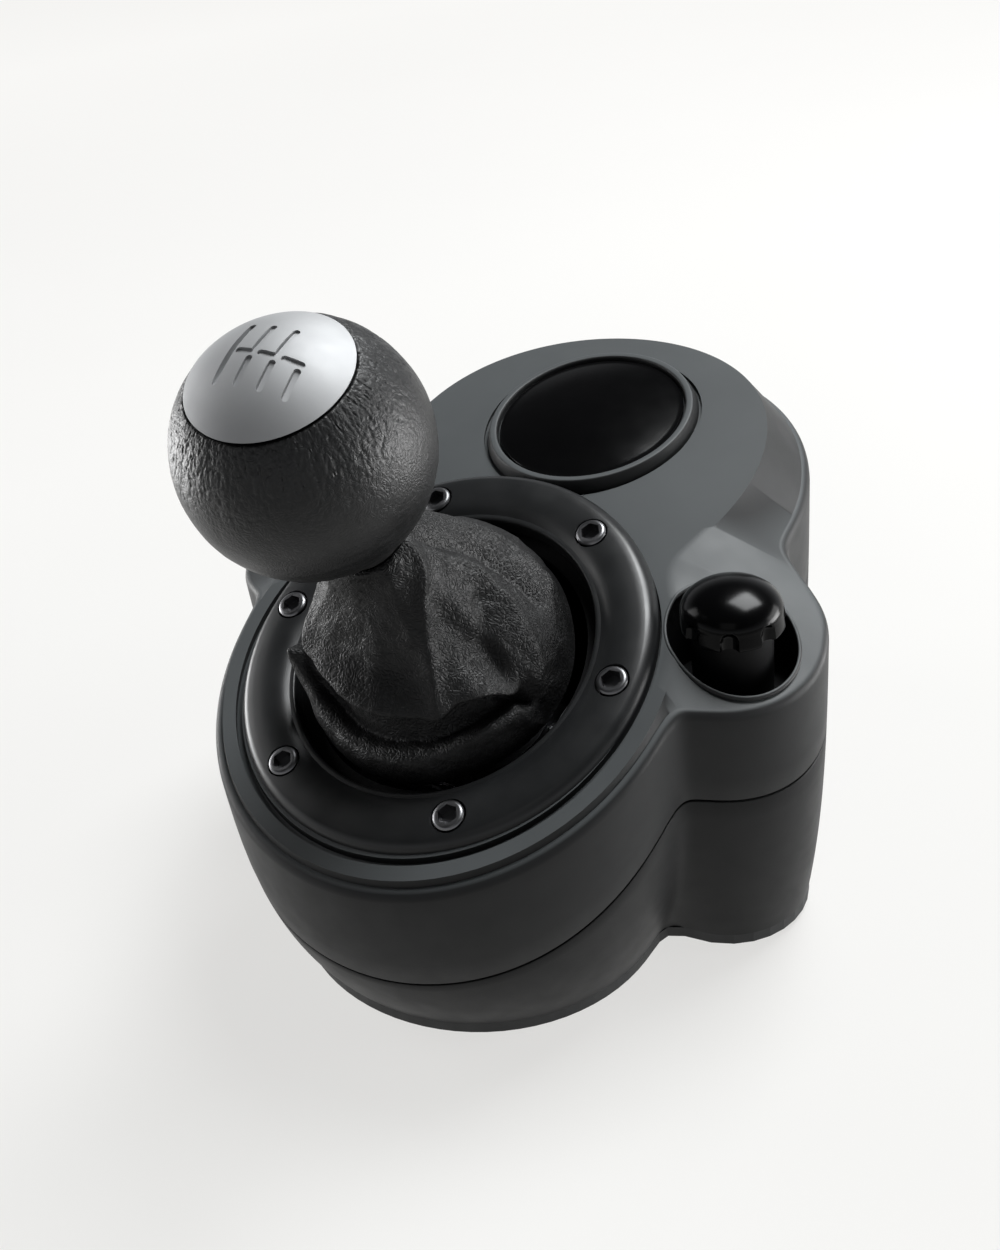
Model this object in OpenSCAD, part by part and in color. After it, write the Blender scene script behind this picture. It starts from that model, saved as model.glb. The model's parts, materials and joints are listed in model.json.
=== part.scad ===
// Desk-clamped H-pattern gear shifter for driving games.
// Origin: middle of the underside, on the desk. +X is the driver's right, +Y points away from them.

/* [Deck] */
// Height of the boot ring's centre above the desk
ring_z = 80; // [76:1:92]
// Boot ring's centre in front of the origin
ring_y = -35; // [-40:1:-30]
// Slope of the deck under the boot ring
deck_tilt = 24; // [20:1:28]
// Bend radius of the deck behind the boot ring
deck_bend_r = 370; // [300:10:500]
// Depth of the deck below the top of the boot ring
deck_drop = 2.5; // [2:0.25:3.5]
// Thickness of the deck
deck_wall = 4; // [3.5:0.25:5]

/* [Housing] */
// Deck left round the boot ring, out to the front lobe's crease
lobe_rim = 7; // [6:0.5:9]
// Shoulder centre inside the clamp screw
shoulder_inset = 5; // [3:0.5:7]
// Shoulder centre along Y
shoulder_y = -5; // [-7:0.5:-3]
// Radius of each shoulder
shoulder_r = 23; // [22:0.5:25]
// Back lobe's centre along Y
back_lobe_y = 27; // [24:1:32]
// Radius of the back lobe at the crease
back_lobe_r = 58; // [56:1:62]
// Radius of the flat part of the deck at the back
back_flat_r = 48; // [46:0.5:50]
// Slope of the shoulder tops, rise over run
shoulder_slope = 0.36; // [0.25:0.01:0.5]
// Slope of the side faces at the back, rise over run
side_slope = 1.1; // [0.9:0.05:1.3]
// Radius of the crease round the deck
crease_r = 2.5; // [1.5:0.25:3]
// Height of the upper housing's skirt at the front
skirt_h = 29; // [26:1:31]
// How much shorter the skirt is at the shoulders and back
skirt_rise = 4.5; // [3:0.5:6]
// Wall thickness of both housings
wall = 3; // [2.5:0.25:3.5]
// Gap at the parting line
seam_gap = 0.4; // [0.3:0.05:0.6]
// Draw-in of the front lobe at the base
chin_draw = 9; // [6:0.5:12]
// Draw-in of the shoulders and back at the base
wall_draw = 3.5; // [2:0.5:5]
// How late the walls curve in, as an exponent
wall_bow = 3; // [2:0.1:4]

/* [Base] */
// Height of the rubber feet
foot_h = 2; // [1.5:0.25:3]
// Radius of a rubber foot
foot_r = 8; // [6:0.5:9]
// Thickness of the base plate
base_t = 3; // [2.5:0.25:4]
// Spacing of the two threaded mounting inserts
insert_spacing = 60; // [50:1:64]
// Thread core radius of the inserts
insert_core_r = 2.5; // [2:0.1:3]
// Height of the inserts
insert_h = 10; // [8:0.5:14]

/* [Boot and ring] */
// Outer radius of the boot ring
ring_r = 50; // [49:0.5:51]
// Width of the boot ring's face
ring_w = 14; // [13:0.5:16]
// Thickness of the boot ring
ring_t = 5.5; // [5:0.25:6.5]
// Shank radius of the ring screws
ring_screw_r = 2; // [1.5:0.25:2]
// Thickness of the boot leather where it is clamped
boot_flange_t = 1; // [0.8:0.1:1.5]
// Height of the boot above the ring
boot_h = 40; // [36:1:41]
// Gap between the boot at its fullest and the ring's opening
boot_gap = 3; // [2:0.25:5]
// Height of the boot's folds
boot_fold = 1.8; // [1:0.1:2.5]
// Thickness of the boot's leather
boot_leather_t = 1.6; // [1.2:0.1:2]

/* [Badge] */
// Deck left between the boot ring and the badge
badge_land = 1.5; // [1.5:0.25:4]
// Slope of the badge
badge_tilt = 12; // [9:0.5:14]
// Radius of the glossy disc
badge_r = 23.5; // [21:0.5:24]
// Width of the bezel round it
bezel_w = 3.4; // [2.8:0.1:3.6]

/* [Lever] */
// Ring's centre to the pivot, along the lever
pivot_depth = 32; // [31:0.5:34]
// Gap between the boot and the collar under the ball
collar_gap = 1.6; // [1.5:0.1:5]
// Radius of the ball
ball_r = 25; // [23:0.5:26]
// Radius of the cap on the ball
cap_r = 16.5; // [15:0.5:18]
// Slope of the cap towards the driver
cap_tilt = 20; // [14:0.5:24]
// Lean of the cap to the driver's right
cap_lean = 5; // [0:0.5:6]
// Radius of the shift shaft
shaft_r = 5; // [4.5:0.25:5.5]
// Swing fore and aft, each way
shift_swing = 14; // [10:0.5:15]
// Swing from side to side, each way
select_swing = 10; // [9:0.5:11]
// Push-down travel for reverse
push_travel = 4; // [3:0.25:4.5]
// Radius of the finger in the gate
finger_r = 2; // [1.6:0.1:2.1]
// Running clearance of pins and shafts
run_gap = 0.05; // [0.03:0.01:0.08]

/* [Clamps] */
// Deck left between the boot ring and a clamp's well
clamp_land = 2.2; // [2:0.1:4]
// Clamp screw along Y
clamp_y = -9.5; // [-11:0.5:-8]
// Radius of the clamp knob
clamp_knob_r = 10.5; // [10:0.25:11.5]
// Clearance round the clamp knob
clamp_well_gap = 3.5; // [3:0.25:4]
// Radius of the clamp screw
clamp_screw_r = 3; // [2.5:0.25:3.5]
// Travel of the jaws
clamp_travel = 30; // [20:1:32]
// Length of a jaw's foot
jaw_reach = 38; // [32:1:42]
// Width of a jaw
jaw_w = 16; // [15:0.5:18]
// Clearance between a jaw and the wall beside it
jaw_wall_gap = 0.6; // [0.4:0.1:1.5]

/* [Hidden] */
$fn = 64;
slack = 0.3;
seat = 0.05;
sides = 120;
blend_power = 9;
blend_ref = 50;

// Boot ring's opening and screw circle, and the lobe and badge set out from the ring
ring_hole_r = ring_r - ring_w;
ring_screw_pcd_r = ring_r - ring_w / 2;
front_lobe_r = ring_r + lobe_rim;
badge_y = ring_y + ring_r * cos(deck_tilt) + badge_land + (badge_r + bezel_w) * cos(badge_tilt);

// Levels up the stack under the boot ring, along the lever from the ring's top
boot_flange_z = -ring_t - boot_flange_t;
retainer_t = 2;
ring_seat_z = boot_flange_z - retainer_t;
ring_boss_h = 14;
ring_screw_l = 15;
ring_screw_angles = [4, 60, 120, 180, 240, 302];
ring_boss_wall = 2.2;
ring_head_r = 3.5;
ring_head_h = 3.4;
ring_bore_depth = 3;
ring_round = 3;
ring_foot_r = ring_r - 2;
ring_foot_z = -4;
ring_groove = 1;
boot_edge_r = ring_hole_r + 4.5;
boot_full_r = ring_hole_r - boot_gap;
boot_sides = 48;

// Height of the base's top face, where both the lower housing and the mechanism stand
floor_z = foot_h + base_t;

// Badge seat
badge_floor = 1;
badge_dome = 2.2;
bezel_rise = 2;

// Lever mechanism, measured along the lever from the pivot
pivot_y = ring_y + pivot_depth * sin(deck_tilt);
pivot_z = ring_z - pivot_depth * cos(deck_tilt);
gimbal_r = 19;
gimbal_bore_r = 13.5;
gimbal_h = 10;
pin_r = 3;
ear_x = 24;
ear_t = 5;
ear_r = 10;
bush_r = 5;
sleeve_r = 8;
sleeve_up = 12;
sleeve_down = 14;
gate_t = 2;
gate_z = -37.5;
gate_half_x = ear_x - slack;
gate_half_y = 19;
gate_screw_x = 18.5;
gate_screw_y = 14;
gate_screw_r = 1.5;
gate_ledge_x = 13.5;
gate_ledge_t = 4;
frame_front = 26;
frame_back = 42;
frame_floor_t = 3;
frame_window_x = 13;
frame_tab_x = 21;
frame_screw_r = 1.6;
finger_end = -41;
shaft_thick_end = -20;
gate_lever = -gate_z - gate_t / 2;
lane_x = gate_lever * tan(select_swing) / cos(shift_swing);
lane_y = gate_lever * tan(shift_swing);
slot_half = finger_r * 1.03 + gate_t * tan(shift_swing) / 2 + slack;
spring_wire_r = 0.7;
select_wire_r = 0.6;
select_pin_r = 2.5;
select_spring_l = 8.2;
push_spring_r = 7;
push_collar_t = 3;
push_spring_l = push_travel + 11;
push_spring_top = sleeve_up + push_spring_l;
push_turns = 5;
select_spring_r = 5.6;
select_turns = 4;
sensor_r = 8;
sensor_t = 10;
reverse_sensor_w = 8;
reverse_sensor_t = 3.5;

// Ball and collar, along the lever from the pivot
collar_h = 5;
collar_r = 10;
collar_z = pivot_depth + boot_h + collar_gap;
ball_flat = sqrt(ball_r * ball_r - collar_r * collar_r);
ball_z = collar_z + collar_h + ball_flat;
shaft_top = ball_z + 8;
cap_gap = 0.6;
cap_z = sqrt(ball_r * ball_r - cap_r * cap_r);
cap_stem_r = 12;
cap_stem_h = 4;
groove_w = 1;
groove_depth = 0.6;
groove_lane = 4.7;
groove_run = 6.8;
groove_break = 1.6;
groove_x = 1.5;
groove_turn = 4;

// Clamps
well_r = clamp_knob_r + clamp_well_gap;
clamp_reach = ring_r + clamp_land + well_r;
clamp_side_y = (clamp_y - ring_y) / cos(deck_tilt);
clamp_x = sqrt(clamp_reach * clamp_reach - clamp_side_y * clamp_side_y);
shoulder_x = clamp_x - shoulder_inset;
well_rim_z = top_z(clamp_x, clamp_y);
well_depth = 14;
well_floor_z = well_rim_z - well_depth;
clamp_band_z = well_depth + 3.5;
clamp_rim_z = clamp_band_z + 3.5;
clamp_dome_h = 6;
clamp_neck_r = clamp_knob_r - 2.5;
clamp_grips = 8;
clamp_grip_r = 2;
clamp_grip_h = 4;
clamp_bush_r = 6;
jaw_post_r = jaw_w / 2 + 0.5;
jaw_foot_z = 0.8;
jaw_foot_t = 7;
jaw_pad_t = 2.5;
jaw_pad_inset = 1.5;
jaw_top_z = floor_z + clamp_travel + 9;
jaw_nut_h = 6;
jaw_nut_r = 5.8;
clamp_screw_end = jaw_top_z - clamp_travel - jaw_nut_h + 2;
jaw_slot_gap = 1;
jaw_turn = max([for (a = [12:32]) jaw_turn_at(a)]);

// Screw bosses that hold the two housings together, as angles round the pole
boss_angles = [-128, -52, 48, 132];
boss_drop = 3;
boss_r = 4.2;
boss_h = 8;
boss_inset = wall + 2.9;
housing_screw_r = 1.5;
housing_head_r = 2.4;
housing_head_h = 2;
housing_screw_l = 20;

// Base plate: screws into the lower housing, feet, inserts and circuit board
base_screw_angles = [-115, -65, 62, 118];
base_boss_h = 12;
base_boss_inset = wall + 2.2;
base_screw_r = 1.5;
base_head_r = 2.8;
base_head_h = 1.6;
base_screw_l = 11;
foot_angles = [-108, -72, 76, 104];
foot_inset = 13;
insert_y = 46;
insert_wall = 1.5;
insert_boss_r = insert_core_r + insert_wall + 2.5;
board_w = 40;
board_l = 30;
board_y = 51;
board_t = 1.6;
board_post_h = 5;
board_post_r = 2.6;
board_screw_r = 1.1;
board_screw_inset = 3;
board_head_r = 2;
board_head_h = 1.2;
chip_w = 10;
chip_h = 1.4;
plug_l = 7;
plug_h = 6;

// Cable inlet at the back
gland_z = 24;
gland_r = 5;
gland_flange_r = 7.5;
gland_flange_t = 2;
gland_bore_r = 2.6;
gland_boss_r = 9;
gland_y = wall_point(90, crease_z(90) - gland_z, 0).y + 0.4;

// Frames
module on_deck() translate([0, ring_y, ring_z]) rotate([deck_tilt, 0, 0]) children();
module on_pivot() translate([0, pivot_y, pivot_z]) rotate([deck_tilt, 0, 0]) children();
module on_cap() on_pivot() translate([0, 0, ball_z]) rotate([cap_tilt - deck_tilt, cap_lean, 0]) children();
module on_badge() translate([0, badge_y, deck_z(0, badge_y)]) rotate([badge_tilt, 0, 0]) children();
module at_clamp(side) translate([side * clamp_x, clamp_y, 0]) children();

// Housing form: lobes seen from above, joined round a pole inside all of them
function exit_oval(a, cy, rx, ry) =
    let (d = [cos(a) / rx, sin(a) / ry], q = [0, (shoulder_y - cy) / ry])
    let (aa = d * d, b = q * d, c = q * q - 1)
    (-b + sqrt(b * b - aa * c)) / aa;

function exit_bar(a, half, r) =
    let (dx = abs(cos(a)), dy = abs(sin(a)), side = dy < 0.001 ? 1000 : r / dy)
    dx * side <= half ? side : half * dx + sqrt(r * r - half * half * dy * dy);

function total(v, i = 0) = i < len(v) ? v[i] + total(v, i + 1) : 0;
function soft_max(v) = blend_ref * pow(total([for (e = v) pow(e / blend_ref, blend_power)]), 1 / blend_power);

function flat_reach(a) = soft_max([
    exit_oval(a, ring_y, front_lobe_r - crease_r, (front_lobe_r - crease_r) * cos(deck_tilt)),
    exit_oval(a, back_lobe_y, back_flat_r, back_flat_r)
]);

function lobe_reach(a, draw, chin) = soft_max([
    exit_oval(a, ring_y, front_lobe_r - chin, front_lobe_r * cos(deck_tilt) - chin),
    exit_bar(a, shoulder_x, shoulder_r - draw),
    exit_oval(a, back_lobe_y, back_lobe_r - draw, back_lobe_r - draw)
]);

// Deck height: a slope under the ring that bends over towards the back
function deck_z(x, y) =
    let (s = y - ring_y, lean = asin(max(-0.9, sin(deck_tilt) - s / deck_bend_r)))
    ring_z - deck_drop / cos(deck_tilt)
        + (s < 0 ? s * tan(deck_tilt) : deck_bend_r * (cos(lean) - cos(deck_tilt)));

// Height of the housing's top at any place, with the shoulders' fall
function top_z(x, y) =
    let (dy = y - shoulder_y, a = atan2(dy, x), r = sqrt(x * x + dy * dy))
    deck_z(x, y) - fall(a) * max(0, r - flat_reach(a));

function ease(t) = let (u = min(1, max(0, t))) u * u * (3 - 2 * u);
function fall(a) = shoulder_slope + (side_slope - shoulder_slope) * ease((sin(a) - 0.1) / 0.6);
function spot(a, r) = [r * cos(a), shoulder_y + r * sin(a)];
function crease_z(a) =
    let (r = lobe_reach(a, 0, 0), p = spot(a, r))
    deck_z(p.x, p.y) - fall(a) * (r - flat_reach(a));

// A point of the deck at share f of the flat part's reach, lowered by drop
function deck_point(a, f, drop) =
    let (p = spot(a, f * flat_reach(a)))
    [p.x, p.y, deck_z(p.x, p.y) - drop];

// A point of the wall at a depth below the crease, moved in by inset
function wall_point(a, depth, inset) =
    let (z = crease_z(a), t = min(1, max(0, depth / (z - floor_z))))
    let (top = lobe_reach(a, 0, 0), low = lobe_reach(a, wall_draw, chin_draw))
    let (p = spot(a, top + (low - top) * pow(t, wall_bow) - inset))
    [p.x, p.y, z - depth];

// A point where the deck rolls over into the wall, at angle b of the roll
function roll_point(a, b) = wall_point(a, crease_r * (1 - cos(b)), crease_r * (1 - sin(b)));

function skirt(a) = skirt_h - skirt_rise * ease((sin(a) + 0.95) / 0.6);
function turn(i) = 360 * i / sides;
function deck_ring(f, drop) = [for (i = [0:sides - 1]) deck_point(turn(i), f, drop)];
function wall_ring(depth, inset) = [for (i = [0:sides - 1]) wall_point(turn(i), depth, inset)];
function skirt_ring(share, inset) = [
    for (i = [0:sides - 1]) wall_point(turn(i), skirt(turn(i)) * share, inset)
];
function roll_ring(b) = [for (i = [0:sides - 1]) roll_point(turn(i), b)];
function foot_ring(share, inset) = [
    for (i = [0:sides - 1])
        let (a = turn(i), top = skirt(a) + seam_gap, low = crease_z(a) - floor_z)
        wall_point(a, top + (low - top) * share, inset)
];
function plan(inset) = [
    for (i = [0:sides - 1])
        let (a = turn(i), p = wall_point(a, crease_z(a) - floor_z, inset))
        [p.x, p.y]
];

// Skins: rings of points joined into one closed surface
function flat_list(v) = [for (r = v) for (p = r) p];
function strip(i, k, n) = [
    for (j = [0:n - 1]) let (m = (j + 1) % n)
        each [[i * n + j, i * n + m, k * n + m], [i * n + j, k * n + m, k * n + j]]
];

module capped_skin(rings, top, bottom) {
    n = len(rings[0]);
    last = len(rings) - 1;
    points = concat(flat_list(rings), [top, bottom]);
    top_id = len(points) - 2;
    bottom_id = len(points) - 1;
    polyhedron(points, concat(
        [for (j = [0:n - 1]) [top_id, (j + 1) % n, j]],
        [for (i = [0:last - 1]) each strip(i, i + 1, n)],
        [for (j = [0:n - 1]) [bottom_id, last * n + j, last * n + (j + 1) % n]]
    ));
}

module looped_skin(rings) {
    n = len(rings[0]);
    count = len(rings);
    polyhedron(flat_list(rings), [for (i = [0:count - 1]) each strip(i, (i + 1) % count, n)]);
}

// A helical tube along Z, from z0 to z1, with square-cut ends
function coil_point(t, r, z0, z1, turns, wire, b) =
    let (a = 360 * turns * t, rr = r + wire * cos(b))
    [rr * cos(a), rr * sin(a), z0 + (z1 - z0) * t + wire * sin(b)];

module coil(r, z0, z1, turns, wire) {
    steps = turns * 8;
    low = z0 + wire;
    high = z1 - wire;
    rings = [
        for (i = [0:steps])
            [for (j = [0:5]) coil_point(i / steps, r, low, high, turns, wire, -60 * j)]
    ];
    gaps = [
        for (i = [0:steps], k = [i + 5:steps])
            norm(coil_point(i / steps, r, low, high, turns, 0, 0)
                - coil_point(k / steps, r, low, high, turns, 0, 0)) - 2 * wire
    ];
    echo(least_gap_between_turns = min(gaps));
    start = coil_point(0, r, low, high, turns, 0, 0);
    end = coil_point(1, r, low, high, turns, 0, 0);
    capped_skin(rings, start, end);
}

// Housings
// The room that trims what is added inside the upper housing: out to the middle of its own walls,
// and clear of the lower housing's wall below the parting line
module housing_core() {
    under = deck_wall / 2;
    capped_skin(
        [
            deck_ring(0.5, under), deck_ring(0.97, under), wall_ring(crease_r + under, wall / 2),
            skirt_ring(0.95, wall / 2), skirt_ring(1, wall + slack), foot_ring(1, wall + slack)
        ],
        [0, shoulder_y, deck_z(0, shoulder_y) - under], [0, shoulder_y, floor_z]
    );
}

module upper_shell() {
    under = deck_wall;
    capped_skin(
        [
            deck_ring(0.45, 0), deck_ring(0.75, 0), deck_ring(1, 0),
            roll_ring(10), roll_ring(35), roll_ring(60), roll_ring(90),
            skirt_ring(0.5, 0), skirt_ring(1, 0),
            skirt_ring(1, wall), skirt_ring(0.5, wall), wall_ring(under + crease_r, wall),
            deck_ring(0.94, under), deck_ring(0.7, under), deck_ring(0.4, under)
        ],
        [0, shoulder_y, deck_z(0, shoulder_y)], [0, shoulder_y, deck_z(0, shoulder_y) - under]
    );
}

module at_ring_screws(z) {
    for (a = ring_screw_angles)
        rotate([0, 0, a]) translate([ring_screw_pcd_r, 0, z]) children();
}

module ring_holes(r, z0, z1) at_ring_screws(z0) cylinder(r = r, h = z1 - z0);

module well(r, z0, z1) {
    for (s = [-1, 1])
        at_clamp(s) translate([0, 0, z0]) cylinder(r = r, h = z1 - z0);
}

function boss_spot(a) = let (p = wall_point(a, skirt(a) + boss_h, boss_inset)) [p.x, p.y, 0];
function boss_z(a) = wall_point(a, skirt(a), 0).z - boss_drop;

module at_bosses(lift) {
    for (a = boss_angles)
        translate(boss_spot(a)) translate([0, 0, boss_z(a) + lift]) children();
}

module upper_housing() color("#5b6265") {
    difference() {
        union() {
            upper_shell();
            intersection() {
                housing_core();
                union() {
                    well(well_r + wall, well_floor_z - wall, ring_z + 30);
                    on_deck() translate([0, 0, ring_seat_z - wall])
                        cylinder(r = ring_r + wall, h = wall + 4);
                    at_bosses(0) cylinder(r = boss_r, h = skirt_h - skirt_rise - 4);
                }
            }
            on_deck() ring_holes(ring_screw_r + ring_boss_wall, ring_seat_z - ring_boss_h, ring_seat_z - 1);
        }
        on_deck() translate([0, 0, ring_seat_z]) cylinder(r = ring_foot_r + slack, h = 40);
        on_deck() translate([0, 0, boot_flange_z])
            cylinder(r1 = ring_foot_r + slack, r2 = ring_r + slack, h = ring_foot_z - boot_flange_z);
        on_deck() translate([0, 0, ring_foot_z]) cylinder(r = ring_r + slack, h = 40);
        on_deck() translate([0, 0, -40]) cylinder(r = ring_hole_r + 1, h = 40);
        on_deck() ring_holes(ring_screw_r + seat, ring_seat_z - ring_boss_h - 1, 0);
        on_badge() translate([0, 0, -badge_floor]) cylinder(r = badge_r + bezel_w + slack, h = 20);
        well(well_r, well_floor_z, ring_z + 40);
        well(clamp_bush_r, well_floor_z - wall - 1, ring_z);
        at_bosses(-1) cylinder(r = housing_screw_r + seat, h = housing_screw_l - boss_h);
    }
}

module lower_housing() color("#2c3033") {
    difference() {
        union() {
            looped_skin([
                foot_ring(0, 0), foot_ring(0.3, 0), foot_ring(0.6, 0), foot_ring(0.82, 0), foot_ring(1, 0),
                foot_ring(1, wall), foot_ring(0.82, wall), foot_ring(0.6, wall), foot_ring(0.3, wall),
                foot_ring(0, wall)
            ]);
            at_bosses(-slack - boss_h) cylinder(r = boss_r, h = boss_h);
            at_base_screws(floor_z) cylinder(r = boss_r, h = base_boss_h);
            at_gland() translate([0, 0, -wall - 1]) cylinder(r = gland_boss_r, h = wall + 1);
        }
        at_bosses(-slack - boss_h - 1) cylinder(r = housing_screw_r + seat, h = boss_h + 2);
        at_bosses(-slack - boss_h - housing_head_h - 1)
            cylinder(r = housing_head_r + slack, h = housing_head_h + 1 + seat);
        at_base_screws(floor_z - 1) cylinder(r = base_screw_r + seat, h = base_boss_h);
        at_gland() translate([0, 0, -wall - 6]) cylinder(r = gland_r + seat, h = wall + 10);
    }
}

// Base
function base_spot(a) = let (p = wall_point(a, crease_z(a) - floor_z, base_boss_inset)) [p.x, p.y, 0];
function foot_spot(a) = let (p = wall_point(a, crease_z(a) - floor_z, foot_inset)) [p.x, p.y, 0];
module at_base_screws(z) for (a = base_screw_angles) translate(base_spot(a)) translate([0, 0, z]) children();
module at_inserts(z) for (s = [-1, 1]) translate([s * insert_spacing / 2, insert_y, z]) children();
module at_board_posts(z) {
    for (sx = [-1, 1], sy = [-1, 1])
        translate([
            sx * (board_w / 2 - board_screw_inset), board_y + sy * (board_l / 2 - board_screw_inset), z
        ]) children();
}

// The turn at which a jaw's side clears the wall at angle a; the jaws lie at the largest of these
function jaw_turn_at(a) =
    let (p = wall_point(a, crease_z(a) - floor_z, wall + jaw_wall_gap))
    let (d = [p.x - clamp_x, p.y - clamp_y])
    atan2(d.y, d.x) - acos(jaw_w / 2 / norm(d));

module jaw_slot() {
    for (s = [-1, 1])
        translate([s * clamp_x, clamp_y]) rotate([0, 0, s * jaw_turn]) {
            circle(r = jaw_post_r + jaw_slot_gap);
            translate([-jaw_w / 2 - jaw_slot_gap, 0])
                square([jaw_w + 2 * jaw_slot_gap, jaw_reach - jaw_w / 2]);
            translate([0, jaw_reach - jaw_w / 2]) circle(r = jaw_w / 2 + jaw_slot_gap);
        }
}

module base_plate() color("#25282a") {
    difference() {
        union() {
            translate([0, 0, foot_h]) linear_extrude(base_t) difference() {
                polygon(plan(0));
                jaw_slot();
            }
            at_inserts(floor_z - 1) cylinder(r = insert_boss_r, h = insert_h - base_t + 1);
            at_board_posts(floor_z - 1) cylinder(r = board_post_r, h = board_post_h + 1);
        }
        at_inserts(foot_h - 1) cylinder(r = insert_core_r + insert_wall + seat, h = insert_h + 4);
        at_board_posts(foot_h + 1) cylinder(r = board_screw_r + seat, h = board_post_h + base_t);
        at_base_screws(foot_h - 1) cylinder(r = base_screw_r + 0.3, h = base_t + 2);
        at_base_screws(foot_h - 1) cylinder(r = base_head_r + 0.3, h = base_head_h + 1);
        at_frame_screws(foot_h - 1) cylinder(r = frame_screw_r + 0.3, h = base_t + 2);
        at_frame_screws(foot_h - 1) cylinder(r = base_head_r + 0.3, h = base_head_h + 1);
    }
}

module base_feet() color("#1a1a1a") {
    for (p = concat([[0, 0, 0]], [for (a = foot_angles) foot_spot(a)]))
        translate(p) rotate_extrude() polygon([
            [0, 0], [foot_r - 0.6, 0], [foot_r, 0.6], [foot_r, foot_h], [0, foot_h]
        ]);
}

module pan_screw(r, head_r, head_h, length) {
    difference() {
        union() {
            cylinder(r = head_r, h = head_h);
            cylinder(r = r, h = length);
        }
        translate([0, 0, -1]) cylinder(r = r * 0.8, h = head_h * 0.6 + 1, $fn = 6);
    }
}

module base_screws() color("#8c9196")
    at_base_screws(foot_h) pan_screw(base_screw_r, base_head_r, base_head_h, base_screw_l);

module housing_screws() color("#8c9196")
    at_bosses(-slack - boss_h - housing_head_h)
        pan_screw(housing_screw_r, housing_head_r, housing_head_h, housing_screw_l);

module mount_inserts() color("#b08d57")
    at_inserts(foot_h) difference() {
        cylinder(r = insert_core_r + insert_wall, h = insert_h);
        translate([0, 0, -1]) cylinder(r = insert_core_r, h = insert_h + 2);
    }

module at_gland() translate([0, gland_y, gland_z]) rotate([-90, 0, 0]) children();

module cable_gland() color("#141414")
    at_gland() translate([0, 0, seat]) rotate_extrude() polygon([
        [gland_bore_r, -wall - 4], [gland_r, -wall - 4], [gland_r, 0], [gland_flange_r, 0],
        [gland_flange_r - 0.8, gland_flange_t], [gland_bore_r, gland_flange_t]
    ]);

// Boot ring, boot and retainer
module boot_ring() color("#1f2122") {
    lip = boot_edge_r + slack;
    on_deck() difference() {
        rotate_extrude() {
            polygon([
                [ring_hole_r, -ring_t], [lip, -ring_t], [lip, boot_flange_z],
                [ring_foot_r, boot_flange_z], [ring_r, ring_foot_z], [ring_r, -ring_round],
                [ring_r - ring_round, -ring_round], [ring_r - ring_round, 0],
                [ring_hole_r + ring_groove + 1.5, 0], [ring_hole_r + 1.5, -ring_groove],
                [ring_hole_r, -ring_groove - 0.8]
            ]);
            translate([ring_r - ring_round, -ring_round]) circle(r = ring_round);
        }
        ring_holes(ring_screw_r + slack, boot_flange_z - 1, 1);
        ring_holes(ring_head_r + 1, -ring_bore_depth, 1);
    }
}

module ring_screws() color("#3a3c3e") {
    on_deck() at_ring_screws(-ring_bore_depth) {
        difference() {
            cylinder(r = ring_head_r, h = ring_head_h);
            translate([0, 0, ring_head_h / 2])
                cylinder(r = ring_head_r * 0.55, h = ring_head_h, $fn = 6);
        }
        translate([0, 0, -ring_screw_l]) cylinder(r = ring_screw_r, h = ring_screw_l);
    }
}

module boot_retainer() color("#303234") {
    on_deck() difference() {
        translate([0, 0, ring_seat_z]) cylinder(r = ring_foot_r - 0.5, h = retainer_t);
        translate([0, 0, ring_seat_z - 1]) cylinder(r = ring_hole_r - 3, h = retainer_t + 2);
        ring_holes(ring_screw_r + slack, ring_seat_z - 1, boot_flange_z + 1);
    }
}

// Boot: rows from the top down, as shares of [height, radius where it hangs over, radius elsewhere]
boot_rows = [
    [1, 0.29, 0.29], [0.93, 0.34, 0.34], [0.77, 0.44, 0.46], [0.61, 0.58, 0.61], [0.46, 0.71, 0.75],
    [0.36, 0.81, 0.84], [0.3, 0.78, 0.9], [0.23, 0.78, 0.94], [0.15, 0.91, 0.97], [0.04, 0.98, 1],
    [-0.08, 0.97, 0.98]
];
// Folds: angle at the ring, angle at the top, share of the folds' height, half width in degrees
boot_folds = [
    [-64, 14, 1, 13], [-122, -162, 0.9, 14], [60, 98, 0.8, 20], [150, 194, 0.8, 16], [4, 20, 0.5, 12],
    [20, 60, -1, 11], [-26, 30, -0.9, 9], [-90, -74, -0.8, 24], [108, 130, -0.9, 13], [-150, -182, -0.7, 11]
];
function off_angle(d) = d - 360 * round(d / 360);
function boot_lift(a, t) = boot_fold * sin(180 * min(1, max(0, t + 0.08))) * total([
    for (f = boot_folds) f[2] * exp(-pow(off_angle(a - f[0] - (f[1] - f[0]) * t) / f[3], 2))
]);
// Where the tent hangs over the tucked skirt: all round the driver's side
function overhang(a) = ease((cos(a + 95) - 0.05) / 0.45);
function boot_row(k, inset) =
    let (v = boot_rows[k], ends = k == 0 || k == len(boot_rows) - 1)
    [
        for (i = [0:boot_sides - 1])
            let (a = 360 * i / boot_sides, share = v[2] + (v[1] - v[2]) * overhang(a))
            let (r = share * boot_full_r + (ends ? 0 : boot_lift(a, v[0])) - inset)
            [r * cos(a), r * sin(a), v[0] * boot_h]
    ];
function boot_circle(r, h) = [
    for (i = [0:boot_sides - 1]) let (a = 360 * i / boot_sides) [r * cos(a), r * sin(a), h]
];

module shift_boot() color("#1c1c1d") {
    last = len(boot_rows) - 1;
    hem_r = boot_full_r + boot_leather_t / 2;
    on_deck() looped_skin(concat(
        [for (k = [0:last]) boot_row(k, 0)],
        [
            boot_circle(hem_r, -ring_t), boot_circle(boot_edge_r, -ring_t),
            boot_circle(boot_edge_r, boot_flange_z), boot_circle(hem_r - boot_leather_t, boot_flange_z)
        ],
        [for (k = [last:-1:0]) boot_row(k, boot_leather_t)]
    ));
}

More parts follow.
